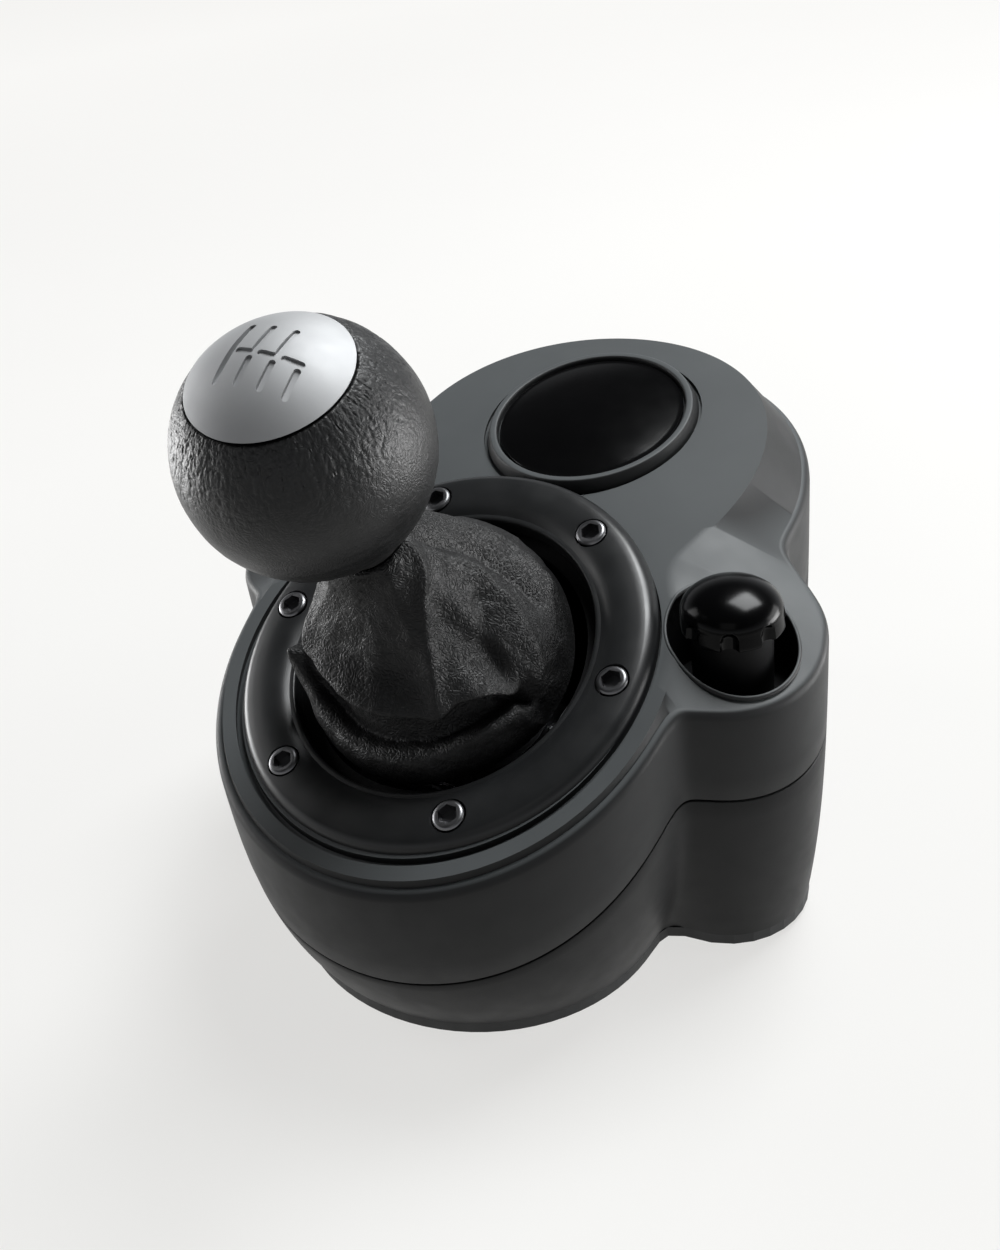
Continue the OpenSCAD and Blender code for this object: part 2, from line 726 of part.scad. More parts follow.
// Badge
module badge_bezel() color("#5b6265")
    on_badge() rotate_extrude() polygon([
        [badge_r + seat, -badge_floor], [badge_r + bezel_w, -badge_floor], [badge_r + bezel_w, -0.6],
        [badge_r + bezel_w * 0.45, bezel_rise], [badge_r + 0.8, bezel_rise],
        [badge_r + seat, bezel_rise - 0.8]
    ]);

module badge_disc() color("#0b0b0c") {
    dome_r = (badge_r * badge_r + badge_dome * badge_dome) / (2 * badge_dome);
    top = bezel_rise - 1 + badge_dome;
    on_badge() rotate_extrude() intersection() {
        translate([0, -badge_floor]) square([badge_r, badge_floor + top]);
        translate([0, top - dome_r]) circle(r = dome_r, $fn = 720);
    }
}

// Lever mechanism
module at_frame_screws(z) {
    for (sx = [-1, 1], y = [pivot_y - frame_front + 5, pivot_y + frame_back - 5])
        translate([sx * frame_tab_x, y, z]) children();
}

module along_x(x0, x1, r) translate([x0, 0, 0]) rotate([0, 90, 0]) cylinder(r = r, h = x1 - x0);
module along_y(y0, y1, r) translate([0, y0, 0]) rotate([-90, 0, 0]) cylinder(r = r, h = y1 - y0);

module mechanism_frame() color("#6f7579") {
    width = 2 * (ear_x + ear_t);
    difference() {
        union() {
            translate([0, pivot_y, floor_z]) linear_extrude(frame_floor_t) difference() {
                translate([-width / 2, -frame_front]) square([width, frame_front + frame_back]);
                translate([-frame_window_x, -frame_front + 8])
                    square([2 * frame_window_x, frame_front + frame_back - 16]);
            }
            for (s = [-1, 1])
                translate([s > 0 ? ear_x : -ear_x - ear_t, pivot_y, 0]) rotate([90, 0, 90])
                    linear_extrude(ear_t) {
                        translate([0, pivot_z]) circle(r = ear_r);
                        polygon([
                            [-frame_front, floor_z], [frame_back, floor_z], [frame_back, floor_z + 8],
                            [ear_r, pivot_z], [-ear_r, pivot_z], [-frame_front, floor_z + 8]
                        ]);
                    }
            intersection() {
                on_pivot() for (s = [-1, 1])
                    translate([
                        s > 0 ? gate_ledge_x : -ear_x - 1, -gate_half_y, gate_z - gate_ledge_t
                    ]) cube([ear_x + 1 - gate_ledge_x, 2 * gate_half_y, gate_ledge_t]);
                translate([-width / 2, -200, floor_z]) cube([width, 400, 200]);
            }
        }
        translate([0, pivot_y, pivot_z]) along_x(-width, width, bush_r + seat);
        on_pivot() at_gate_screws(gate_z - gate_ledge_t - 1)
            cylinder(r = gate_screw_r + seat, h = gate_ledge_t + 2);
        at_frame_screws(floor_z - 1) cylinder(r = frame_screw_r + seat, h = frame_floor_t + 2);
    }
}

module frame_screws() color("#8c9196")
    at_frame_screws(foot_h) pan_screw(frame_screw_r, base_head_r, base_head_h, base_t + frame_floor_t);

module gimbal_bushes() color("#b08d57") {
    for (s = [-1, 1])
        translate([0, pivot_y, pivot_z]) difference() {
            along_x(s > 0 ? ear_x : -ear_x - ear_t, s > 0 ? ear_x + ear_t : -ear_x, bush_r);
            along_x(-ear_x - ear_t - 1, ear_x + ear_t + 1, pin_r + run_gap);
        }
}

module at_gate_screws(z) {
    for (sx = [-1, 1], sy = [-1, 1])
        translate([sx * gate_screw_x, sy * gate_screw_y, z]) children();
}

module gate_slots() {
    for (k = [-1:1])
        translate([k * lane_x - slot_half, -lane_y - slot_half])
            square([2 * slot_half, 2 * (lane_y + slot_half)]);
    translate([-lane_x - slot_half, -slot_half]) square([2 * (lane_x + slot_half), 2 * slot_half]);
}

module gate_plate() color("#9aa0a4") {
    on_pivot() translate([0, 0, gate_z]) linear_extrude(gate_t) difference() {
        square([2 * gate_half_x, 2 * gate_half_y], center = true);
        gate_slots();
        at_gate_screws(0) circle(r = gate_screw_r + 0.2);
    }
}

module gate_screws() color("#8c9196")
    on_pivot() at_gate_screws(gate_z + gate_t + base_head_h) rotate([180, 0, 0])
        pan_screw(gate_screw_r, base_head_r, base_head_h, gate_t + gate_ledge_t);

module fore_aft_sensor() color("#2e5339") {
    face = ear_x + ear_t + seat;
    translate([0, pivot_y, pivot_z]) difference() {
        union() {
            along_x(face, face + sensor_t, sensor_r);
            translate([face, -sensor_r, -sensor_r - 3]) cube([2, 2 * sensor_r, sensor_r + 3]);
        }
        along_x(face - 1, face + sensor_t - 2, pin_r + run_gap);
    }
}

module gimbal_ring() color("#50565a") {
    pad = gimbal_r + 1;
    on_pivot() difference() {
        union() {
            translate([0, 0, -gimbal_h / 2]) cylinder(r = gimbal_r, h = gimbal_h);
            translate([-sensor_r, -pad, -gimbal_h / 2]) cube([2 * sensor_r, 2 * pad, gimbal_h]);
        }
        translate([0, 0, -gimbal_h]) cylinder(r = gimbal_bore_r, h = 2 * gimbal_h);
        along_x(-gimbal_r - 2, gimbal_r + 2, pin_r + seat);
        along_y(-pad - 1, pad + 1, select_pin_r + run_gap);
    }
}

module gimbal_pins() color("#a9adb0") {
    translate([0, pivot_y, pivot_z]) {
        along_x(gimbal_bore_r + 0.5, ear_x + ear_t + sensor_t - 4, pin_r);
        along_x(-ear_x - ear_t - 1, -gimbal_bore_r - 0.5, pin_r);
    }
}

module select_sensor() color("#2e5339") {
    face = gimbal_r + 1 + seat;
    on_pivot() difference() {
        along_y(face, face + sensor_t, sensor_r);
        along_y(face - 1, face + sensor_t - 2, select_pin_r + run_gap);
    }
}

module select_spring() color("#b8bcc0") {
    near = gimbal_r + 1 + slack;
    on_pivot() rotate([90, 0, 0])
        coil(select_spring_r, near, near + select_spring_l, select_turns, select_wire_r);
}

module lever_sleeve() color("#3c4144") {
    on_pivot() difference() {
        translate([0, 0, -sleeve_down]) cylinder(r = sleeve_r, h = sleeve_down + sleeve_up);
        translate([0, 0, -sleeve_down - 1]) cylinder(r = shaft_r + run_gap, h = sleeve_down + sleeve_up + 2);
        along_y(-sleeve_r - 1, sleeve_r + 1, select_pin_r + seat);
    }
}

module select_pins() color("#a9adb0") {
    inner = shaft_r + 0.6;
    on_pivot() {
        along_y(inner, gimbal_r + 1 + sensor_t - 3, select_pin_r);
        along_y(-gimbal_r - 1 - select_spring_l - 1, -inner, select_pin_r);
    }
}

module reverse_sensor() color("#2e5339") {
    on_pivot() difference() {
        translate([-sleeve_r - reverse_sensor_t, -reverse_sensor_w / 2, -sleeve_down])
            cube([reverse_sensor_t + 1.5, reverse_sensor_w, sleeve_down - gimbal_h / 2 - 1]);
        translate([0, 0, -sleeve_down - 1]) cylinder(r = sleeve_r + seat, h = sleeve_down + 2);
    }
}

// Shaft and knob
module shift_shaft() color("#b4b8bb") {
    clip_z = -sleeve_down - slack - 2;
    on_pivot() {
        translate([0, 0, shaft_thick_end]) cylinder(r = shaft_r, h = shaft_top - shaft_thick_end);
        translate([0, 0, finger_end]) cylinder(r = finger_r, h = shaft_thick_end - finger_end + 1);
        translate([0, 0, clip_z]) cylinder(r = sleeve_r - 1, h = 2);
        translate([0, 0, push_spring_top + slack]) cylinder(r = push_spring_r + 2, h = push_collar_t);
    }
}

module push_spring() color("#b8bcc0") {
    low = sleeve_up + slack;
    on_pivot() coil(push_spring_r, low, push_spring_top, push_turns, spring_wire_r);
}

module knob_collar() color("#161616") {
    on_pivot() translate([0, 0, collar_z]) rotate_extrude() polygon([
        [shaft_r + seat, 0], [collar_r - 1.5, 0], [collar_r, collar_h * 0.6], [collar_r, collar_h],
        [shaft_r + seat, collar_h]
    ]);
}

module knob_ball() color("#1d1e1f") {
    difference() {
        on_pivot() translate([0, 0, ball_z]) sphere(r = ball_r, $fn = 96);
        on_pivot() translate([-ball_r, -ball_r, ball_z - ball_flat - 2 * ball_r]) cube(2 * ball_r);
        on_cap() translate([-ball_r, -ball_r, cap_z]) cube(2 * ball_r);
        on_cap() translate([0, 0, cap_z - cap_stem_h]) cylinder(r = cap_stem_r + seat, h = cap_stem_h + 1);
        on_pivot() cylinder(r = shaft_r + seat, h = shaft_top + seat);
    }
}

// One straight stroke of the shift pattern, between two points
module stroke(p, q) {
    d = q - p;
    translate(p) rotate([0, 0, atan2(d.y, d.x)]) {
        circle(r = groove_w / 2);
        translate([0, -groove_w / 2]) square([norm(d), groove_w]);
        translate([norm(d), 0]) circle(r = groove_w / 2);
    }
}

// Four lanes with a broken cross lane: the last lane runs only towards the driver
module shift_pattern() translate([groove_x, 0]) rotate([0, 0, groove_turn]) {
    stroke([-1.5 * groove_lane, groove_run], [-1.5 * groove_lane, -groove_run]);
    for (k = [0:2]) {
        x = (k - 0.5) * groove_lane;
        stroke([x - groove_lane + groove_break, 0], [x, 0]);
        stroke([x, -groove_break], [x, -groove_run]);
        if (k < 2) stroke([x, 0], [x, groove_run]);
    }
}

module knob_cap() color("#c9cbcc") {
    on_cap() {
        difference() {
            sphere(r = ball_r, $fn = 96);
            translate([-ball_r, -ball_r, cap_z + cap_gap - 2 * ball_r]) cube(2 * ball_r);
            difference() {
                linear_extrude(ball_r + 1) shift_pattern();
                sphere(r = ball_r - groove_depth, $fn = 96);
            }
        }
        translate([0, 0, cap_z - cap_stem_h + seat]) cylinder(r = cap_stem_r, h = cap_stem_h + cap_gap);
    }
}

// Clamps
module clamp_bushes() color("#b08d57") {
    for (s = [-1, 1])
        at_clamp(s) translate([0, 0, well_floor_z - wall]) difference() {
            union() {
                translate([0, 0, -1]) cylinder(r = clamp_bush_r - seat, h = wall + 1);
                translate([0, 0, -2]) cylinder(r = clamp_bush_r + 2, h = 2 - seat);
            }
            translate([0, 0, -3]) cylinder(r = clamp_screw_r + run_gap, h = wall + 4);
        }
}

module clamp_knob(side) color("#0d0d0e") {
    dome_r = (clamp_knob_r * clamp_knob_r + clamp_dome_h * clamp_dome_h) / (2 * clamp_dome_h);
    top = clamp_rim_z + clamp_dome_h;
    at_clamp(side) translate([0, 0, well_floor_z]) difference() {
        rotate_extrude() {
            translate([0, slack]) square([clamp_neck_r, clamp_band_z]);
            intersection() {
                translate([0, clamp_band_z]) square([clamp_knob_r, top]);
                translate([0, top - dome_r]) circle(r = dome_r, $fn = 360);
            }
        }
        for (i = [0:clamp_grips - 1])
            rotate([0, 0, 360 / clamp_grips * (i + 0.5)])
                translate([clamp_knob_r + 0.4, 0, clamp_band_z - 1])
                    cylinder(r = clamp_grip_r, h = clamp_grip_h + 1);
        cylinder(r = clamp_screw_r + seat, h = clamp_rim_z);
    }
}

module clamp_screw(side) color("#9a9fa3")
    at_clamp(side) translate([0, 0, clamp_screw_end])
        cylinder(r = clamp_screw_r, h = well_floor_z + clamp_rim_z - seat - clamp_screw_end);

module clamp_jaw(side) color("#33373a") {
    top = jaw_foot_z + jaw_foot_t;
    at_clamp(side) rotate([0, 0, side * jaw_turn]) difference() {
        union() {
            translate([0, 0, jaw_foot_z]) cylinder(r = jaw_post_r, h = jaw_top_z - jaw_foot_z);
            translate([0, 0, jaw_foot_z]) linear_extrude(jaw_foot_t) {
                translate([-jaw_w / 2, 0]) square([jaw_w, jaw_reach - jaw_w / 2]);
                translate([0, jaw_reach - jaw_w / 2]) circle(r = jaw_w / 2);
            }
        }
        translate([0, 0, top]) cylinder(r = clamp_screw_r + 0.6, h = jaw_top_z);
        translate([0, 0, jaw_top_z - jaw_nut_h]) cylinder(r = jaw_nut_r + 0.1, h = jaw_nut_h + 1, $fn = 6);
    }
}

module clamp_nut(side) color("#8c9196")
    at_clamp(side) rotate([0, 0, side * jaw_turn]) translate([0, 0, jaw_top_z - jaw_nut_h + seat])
        difference() {
            cylinder(r = jaw_nut_r, h = jaw_nut_h - seat, $fn = 6);
            translate([0, 0, -1]) cylinder(r = clamp_screw_r + run_gap, h = jaw_nut_h + 2);
        }

module clamp_pad(side) color("#171717") {
    half = jaw_w / 2 - jaw_pad_inset;
    near = jaw_post_r + jaw_pad_inset;
    far = jaw_reach - jaw_w / 2;
    at_clamp(side) rotate([0, 0, side * jaw_turn])
        translate([0, 0, jaw_foot_z + jaw_foot_t]) linear_extrude(jaw_pad_t) {
            translate([0, far]) circle(r = half);
            translate([-half, near]) square([2 * half, far - near]);
        }
}

// Electronics
module circuit_board() color("#1f4d2b") {
    translate([0, board_y, floor_z + board_post_h]) {
        linear_extrude(board_t) difference() {
            square([board_w, board_l], center = true);
            translate([0, -board_y]) at_board_posts(0) circle(r = board_screw_r + 0.2);
        }
        translate([-chip_w / 2, -chip_w / 2, board_t]) cube([chip_w, chip_w, chip_h]);
        translate([-chip_w / 2, board_l / 2 - plug_l - 2, board_t]) cube([chip_w, plug_l, plug_h]);
    }
}

module board_screws() color("#8c9196")
    at_board_posts(floor_z + board_post_h + board_t + board_head_h) rotate([180, 0, 0])
        pan_screw(board_screw_r, board_head_r, board_head_h, board_t + board_post_h);

upper_housing();
lower_housing();
base_plate();
base_feet();
base_screws();
housing_screws();
mount_inserts();
boot_ring();
ring_screws();
boot_retainer();
shift_boot();
badge_bezel();
badge_disc();
mechanism_frame();
frame_screws();
gimbal_bushes();
gate_plate();
gate_screws();
fore_aft_sensor();
circuit_board();
board_screws();
cable_gland();
clamp_bushes();
gimbal_ring();
gimbal_pins();
select_sensor();
select_spring();
lever_sleeve();
select_pins();
reverse_sensor();
shift_shaft();
push_spring();
knob_collar();
knob_ball();
knob_cap();
clamp_knob(-1);  // clamp_knob_left
clamp_screw(-1);  // clamp_screw_left
clamp_jaw(-1);  // clamp_jaw_left
clamp_nut(-1);  // clamp_nut_left
clamp_pad(-1);  // clamp_pad_left
clamp_knob(1);  // clamp_knob_right
clamp_screw(1);  // clamp_screw_right
clamp_jaw(1);  // clamp_jaw_right
clamp_nut(1);  // clamp_nut_right
clamp_pad(1);  // clamp_pad_right
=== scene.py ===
"""Looks of the desk-clamped gear shifter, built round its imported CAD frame."""

import json
import math

import bmesh
import bpy
import numpy as np
from mathutils import Matrix, Vector, noise


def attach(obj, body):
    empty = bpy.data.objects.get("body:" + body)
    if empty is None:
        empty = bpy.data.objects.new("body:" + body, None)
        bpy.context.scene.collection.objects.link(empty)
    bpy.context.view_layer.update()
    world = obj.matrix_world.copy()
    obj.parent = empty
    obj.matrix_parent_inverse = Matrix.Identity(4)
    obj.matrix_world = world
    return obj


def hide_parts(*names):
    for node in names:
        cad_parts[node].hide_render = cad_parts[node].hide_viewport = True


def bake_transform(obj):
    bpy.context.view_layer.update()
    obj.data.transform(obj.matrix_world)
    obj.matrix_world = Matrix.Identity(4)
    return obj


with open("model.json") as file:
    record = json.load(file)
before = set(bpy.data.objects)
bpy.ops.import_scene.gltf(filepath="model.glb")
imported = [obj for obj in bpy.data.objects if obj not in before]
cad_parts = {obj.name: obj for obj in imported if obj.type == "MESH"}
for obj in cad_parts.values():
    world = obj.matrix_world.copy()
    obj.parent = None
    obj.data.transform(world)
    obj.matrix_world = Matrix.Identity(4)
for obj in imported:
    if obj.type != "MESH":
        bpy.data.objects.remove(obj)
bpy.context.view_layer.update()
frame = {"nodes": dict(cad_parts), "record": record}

MM = 0.001
# Edges that turn by more than these angles stay sharp, in degrees
SMOOTH, CRISP = 35, 30

# Sizes, in millimetres, as in the CAD source
RING_Y, RING_Z, TILT = -35.0, 80.0, math.radians(24)
RING_R, OPENING_R, SCREW_CIRCLE_R, SCREW_SEAT = 50.0, 44.0, 43.0, -3.0
SCREW_ANGLES = [math.radians(a) for a in (4, 60, 120, 180, 240, 302)]
BEND_R, DECK_DROP, DECK_WALL, WALL = 370.0, 2.5, 4.0, 3.0
FRONT_R, POLE_Y, SHOULDER_R = 57.0, -5.0, 23.0
BACK_Y, BACK_R, BACK_FLAT_R = 27.0, 58.0, 48.0
SHOULDER_FALL, SIDE_FALL, CREASE = 0.36, 1.1, 2.5
SKIRT, SKIRT_RISE, SEAM = 29.0, 4.5, 0.4
CHIN_DRAW, WALL_DRAW, BOW, POWER, REF = 9.0, 3.5, 3.0, 9.0, 50.0
FLOOR_Z = 5.0
BADGE_TILT, BADGE_GAP, BEZEL_R = math.radians(12), 1.5, 26.9
BADGE_Y = RING_Y + RING_R * math.cos(TILT) + BADGE_GAP + BEZEL_R * math.cos(BADGE_TILT)
CLAMP_Y, CLAMP_GAP, WELL_R, WELL_DEPTH = -9.5, 2.2, 14.0, 14.0
CLAMP_OUT = RING_R + CLAMP_GAP + WELL_R
CLAMP_X = math.sqrt(CLAMP_OUT ** 2 - ((CLAMP_Y - RING_Y) / math.cos(TILT)) ** 2)
SHOULDER_X = CLAMP_X - 5
PIVOT_DEPTH, COLLAR_Z, COLLAR_H, COLLAR_R = 32.0, 73.6, 5.0, 10.0
BALL_R, CAP_R = 25.0, 16.5
BALL_FOOT = math.sqrt(BALL_R ** 2 - COLLAR_R ** 2)
CAP_SEAT = math.sqrt(BALL_R ** 2 - CAP_R ** 2)
BALL_Z = COLLAR_Z + COLLAR_H + BALL_FOOT
CAP_TILT, CAP_LEAN = math.radians(20), math.radians(5)
SPRING_R, SPRING_WIRE, SPRING_LOW, SPRING_TOP = 7.0, 0.7, 12.3, 27.0
SIDES = 480


def around(n):
    """Angles of n points, evenly round a circle."""
    return np.arange(n) * 2 * math.pi / n


# Housing form, as in the CAD source, on arrays of angles
def exit_oval(a, cy, rx, ry):
    """How far a ray from the pole at angle a runs before it leaves an oval."""
    dx, dy, q = np.cos(a) / rx, np.sin(a) / ry, (POLE_Y - cy) / ry
    aa, b, c = dx * dx + dy * dy, q * dy, q * q - 1
    return (-b + np.sqrt(b * b - aa * c)) / aa


def exit_bar(a, half, r):
    """The same for a bar with round ends across the pole."""
    dx, dy = np.abs(np.cos(a)), np.abs(np.sin(a))
    side = np.where(dy < 1e-3, 1000.0, r / np.maximum(dy, 1e-3))
    end = half * dx + np.sqrt(np.maximum(0, r * r - half * half * dy * dy))
    return np.where(dx * side <= half, side, end)


def soft_max(*reaches):
    return REF * sum((e / REF) ** POWER for e in reaches) ** (1 / POWER)


def flat_reach(a):
    """Reach of the flat deck, where its fall begins."""
    r = FRONT_R - CREASE
    return soft_max(
        exit_oval(a, RING_Y, r, r * math.cos(TILT)),
        exit_oval(a, BACK_Y, BACK_FLAT_R, BACK_FLAT_R),
    )


def lobe_reach(a, draw, chin):
    """Reach of the wall round the front, the shoulders and the back."""
    return soft_max(
        exit_oval(a, RING_Y, FRONT_R - chin, FRONT_R * math.cos(TILT) - chin),
        exit_bar(a, SHOULDER_X, SHOULDER_R - draw),
        exit_oval(a, BACK_Y, BACK_R - draw, BACK_R - draw),
    )


def deck_z(y):
    """Height of the deck: a slope in front, which bends level towards the back."""
    s = y - RING_Y
    lean = np.arcsin(np.maximum(-0.9, math.sin(TILT) - s / BEND_R))
    bent = BEND_R * (np.cos(lean) - math.cos(TILT))
    return RING_Z - DECK_DROP / math.cos(TILT) + np.where(s < 0, s * math.tan(TILT), bent)


def ease(t):
    u = np.clip(t, 0, 1)
    return u * u * (3 - 2 * u)


def fall(a):
    return SHOULDER_FALL + (SIDE_FALL - SHOULDER_FALL) * ease((np.sin(a) - 0.1) / 0.6)


def top_z(x, y):
    dy = y - POLE_Y
    a, r = np.arctan2(dy, x), np.hypot(x, dy)
    return deck_z(y) - fall(a) * np.maximum(0, r - flat_reach(a))


def spot(a, r):
    return r * np.cos(a), POLE_Y + r * np.sin(a)


def crease_z(a):
    r = lobe_reach(a, 0, 0)
    return deck_z(spot(a, r)[1]) - fall(a) * (r - flat_reach(a))


def skirt(a):
    """Depth of the upper housing's wall, which is deepest in front."""
    return SKIRT - SKIRT_RISE * ease((np.sin(a) + 0.95) / 0.6)


TURN = around(SIDES)


def deck_ring(f, drop):
    x, y = spot(TURN, f * flat_reach(TURN))
    return np.stack([x, y, deck_z(y) - drop], -1)


def wall_ring(depth, inset):
    z = crease_z(TURN)
    t = np.clip(depth / (z - FLOOR_Z), 0, 1)
    top, low = lobe_reach(TURN, 0, 0), lobe_reach(TURN, WALL_DRAW, CHIN_DRAW)
    x, y = spot(TURN, top + (low - top) * t ** BOW - inset)
    return np.stack([x, y, z - depth], -1)


def roll_ring(b):
    b = math.radians(b)
    return wall_ring(CREASE * (1 - math.cos(b)), CREASE * (1 - math.sin(b)))


def foot_ring(share, inset, drop=0.0):
    top, low = skirt(TURN) + SEAM, crease_z(TURN) - FLOOR_Z
    return wall_ring(top + (low - top) * share + drop, inset)


# Frames of the sloping parts, in millimetres, as (turn, place)
def turned(axis, angle):
    return np.array(Matrix.Rotation(angle, 3, axis))


LEVER = turned("X", TILT)
DECK = (LEVER, np.array([0, RING_Y, RING_Z]))
PIVOT = (LEVER, DECK[1] - LEVER @ [0, 0, PIVOT_DEPTH])
BALL = (LEVER, PIVOT[1] + LEVER @ [0, 0, BALL_Z])
CAP = (LEVER @ turned("X", CAP_TILT - TILT) @ turned("Y", CAP_LEAN), BALL[1])
BADGE = (turned("X", BADGE_TILT), np.array([0, BADGE_Y, float(deck_z(np.array(BADGE_Y)))]))
RIM_Z = float(top_z(np.array(CLAMP_X), np.array(CLAMP_Y)))
WELLS = {
    side: (np.eye(3), np.array([sign * CLAMP_X, CLAMP_Y, RIM_Z - WELL_DEPTH]))
    for side, sign in (("left", -1), ("right", 1))
}


def put(place, points):
    return np.asarray(points, float) @ place[0].T + place[1]


# Mesh helpers
def make(name, points, faces, smooth=SMOOTH):
    mesh = bpy.data.meshes.new(name)
    mesh.from_pydata((np.asarray(points, float) * MM).tolist(), [], faces)
    bm = bmesh.new()
    bm.from_mesh(mesh)
    bmesh.ops.recalc_face_normals(bm, faces=bm.faces)
    bm.to_mesh(mesh)
    bm.free()
    mesh.update()
    mesh.shade_smooth()
    mesh.set_sharp_from_angle(angle=math.radians(smooth))
    obj = bpy.data.objects.new(name, mesh)
    bpy.context.scene.collection.objects.link(obj)
    return obj


def strips(rows, n, closed=False):
    """Quads between rows of n points each, the last row joined to the first if closed."""
    faces = []
    for i in range(rows if closed else rows - 1):
        p, q = i * n, (i + 1) % rows * n
        for j in range(n):
            m = (j + 1) % n
            faces.append((p + j, p + m, q + m, q + j))
    return faces


def skin(name, rings, top=None, bottom=None):
    """A closed skin over rings of points: a loop of rings, or one closed by two poles."""
    n = len(rings[0])
    points = np.concatenate(rings)
    if top is None:
        return make(name, points, strips(len(rings), n, True))
    last = (len(rings) - 1) * n
    points = np.concatenate([points, [top, bottom]])
    faces = [(len(points) - 2, (j + 1) % n, j) for j in range(n)] + strips(len(rings), n)
    faces += [(len(points) - 1, last + j, last + (j + 1) % n) for j in range(n)]
    return make(name, points, faces)


def hoop(r, z, a):
    """Points of a level circle at the angles a."""
    return np.stack([r * np.cos(a), r * np.sin(a), z + 0 * a], -1)


def lathe(name, profile, place, n=192, smooth=SMOOTH, shape=None):
    """A closed turned piece from (radius, height), bottom first; a radius of 0 is a pole."""
    a = around(n)
    points, rows = [], []
    for r, z in profile:
        if r < 1e-6:
            rows.append([len(points)])
            points.append((0, 0, z))
        else:
            rows.append(range(len(points), len(points) + n))
            points.extend(hoop(shape(a, r, z) if shape else r, z, a))
    faces = []
    pairs = list(zip(rows, rows[1:]))
    if len(rows[0]) > 1:
        pairs.append((rows[-1], rows[0]))
    for p, q in pairs:
        for j in range(n):
            m = (j + 1) % n
            if len(p) == 1 and len(q) > 1:
                faces.append((p[0], q[m], q[j]))
            elif len(q) == 1 and len(p) > 1:
                faces.append((p[j], p[m], q[0]))
            elif len(p) > 1:
                faces.append((p[j], p[m], q[m], q[j]))
    return make(name, put(place, points), faces, smooth)


def arc(cx, cz, r, a0, a1, steps):
    """Points of a rounded corner in a profile, with angles in degrees."""
    return [
        (cx + r * math.cos(math.radians(a)), cz + r * math.sin(math.radians(a)))
        for a in np.linspace(a0, a1, steps)
    ]


def prism(name, outline, low, high, place=(np.eye(3), np.zeros(3))):
    """A solid between two copies of an outline; low and high may follow a surface."""
    n = len(outline)
    flat = np.asarray(outline, float)
    z0, z1 = np.broadcast_to(low, n), np.broadcast_to(high, n)
    points = np.concatenate([np.c_[flat, z0], np.c_[flat, z1]])
    faces = [tuple(range(n))[::-1], tuple(range(n, 2 * n))]
    faces += [(j, (j + 1) % n, n + (j + 1) % n, n + j) for j in range(n)]
    return make(name, put(place, points), faces)


def circle(r, n, x=0.0, y=0.0):
    a = around(n)
    return np.c_[x + r * np.cos(a), y + r * np.sin(a)]


def cut(obj, *tools, smooth=SMOOTH):
    """Cuts the tools out of a piece for good, and deletes them."""
    for t in tools:
        m = obj.modifiers.new("cut", "BOOLEAN")
        m.operation, m.solver, m.object = "DIFFERENCE", "EXACT", t
    bpy.context.view_layer.update()
    done = obj.evaluated_get(bpy.context.evaluated_depsgraph_get())
    mesh = bpy.data.meshes.new_from_object(done)
    obj.modifiers.clear()
    obj.data = mesh
    mesh.shade_smooth()
    mesh.set_sharp_from_angle(angle=math.radians(smooth))
    for t in tools:
        bpy.data.objects.remove(t)
    return obj


# Materials: every one drifts in colour and roughness and has a grain
# Painted shade on steep faces fades in between these up shares of the face's normal
STEEP_FROM, STEEP_TO = 0.72, 0.9


def shader(name):
    m = bpy.data.materials.new(name)
    m.use_nodes = True
    nt = m.node_tree
    nt.nodes.clear()
    out = nt.nodes.new("ShaderNodeOutputMaterial")
    bsdf = nt.nodes.new("ShaderNodeBsdfPrincipled")
    nt.links.new(bsdf.outputs["BSDF"], out.inputs["Surface"])
    where = nt.nodes.new("ShaderNodeTexCoord")
    return m, nt, bsdf, where.outputs["Object"]


def noise_node(nt, where, scale, detail, stretch=None):
    node = nt.nodes.new("ShaderNodeTexNoise")
    node.inputs["Scale"].default_value = scale
    node.inputs["Detail"].default_value = detail
    if stretch:
        mapping = nt.nodes.new("ShaderNodeMapping")
        mapping.inputs["Scale"].default_value = stretch
        nt.links.new(where, mapping.inputs["Vector"])
        where = mapping.outputs["Vector"]
    nt.links.new(where, node.inputs["Vector"])
    return node.outputs["Fac"]


def spread(nt, value, low, high, start=0.3, end=0.7):
    """Maps a value from start and end to low and high."""
    node = nt.nodes.new("ShaderNodeMapRange")
    for key, v in (("From Min", start), ("From Max", end), ("To Min", low), ("To Max", high)):
        node.inputs[key].default_value = v
    nt.links.new(value, node.inputs["Value"])
    return node.outputs["Result"]


def tint(nt, value, dark, light):
    """Two colours, mixed by a value."""
    ramp = nt.nodes.new("ShaderNodeValToRGB")
    low, high = ramp.color_ramp.elements
    low.position, high.position = 0.3, 0.7
    low.color, high.color = (*dark, 1), (*light, 1)
    nt.links.new(value, ramp.inputs["Fac"])
    return ramp.outputs["Color"]


def bump(nt, height, depth, strength, under=None):
    node = nt.nodes.new("ShaderNodeBump")
    node.inputs["Strength"].default_value = strength
    node.inputs["Distance"].default_value = depth
    nt.links.new(height, node.inputs["Height"])
    if under is not None:
        nt.links.new(under, node.inputs["Normal"])
    return node.outputs["Normal"]


def either(nt, kind, one, other):
    """A Math node of two values."""
    node = nt.nodes.new("ShaderNodeMath")
    node.operation = kind
    nt.links.new(one, node.inputs[0])
    nt.links.new(other, node.inputs[1])
    return node.outputs["Value"]


def height_of(nt, source):
    """The Z part of a vector."""
    parts = nt.nodes.new("ShaderNodeSeparateXYZ")
    nt.links.new(source, parts.inputs["Vector"])
    return parts.outputs["Z"]


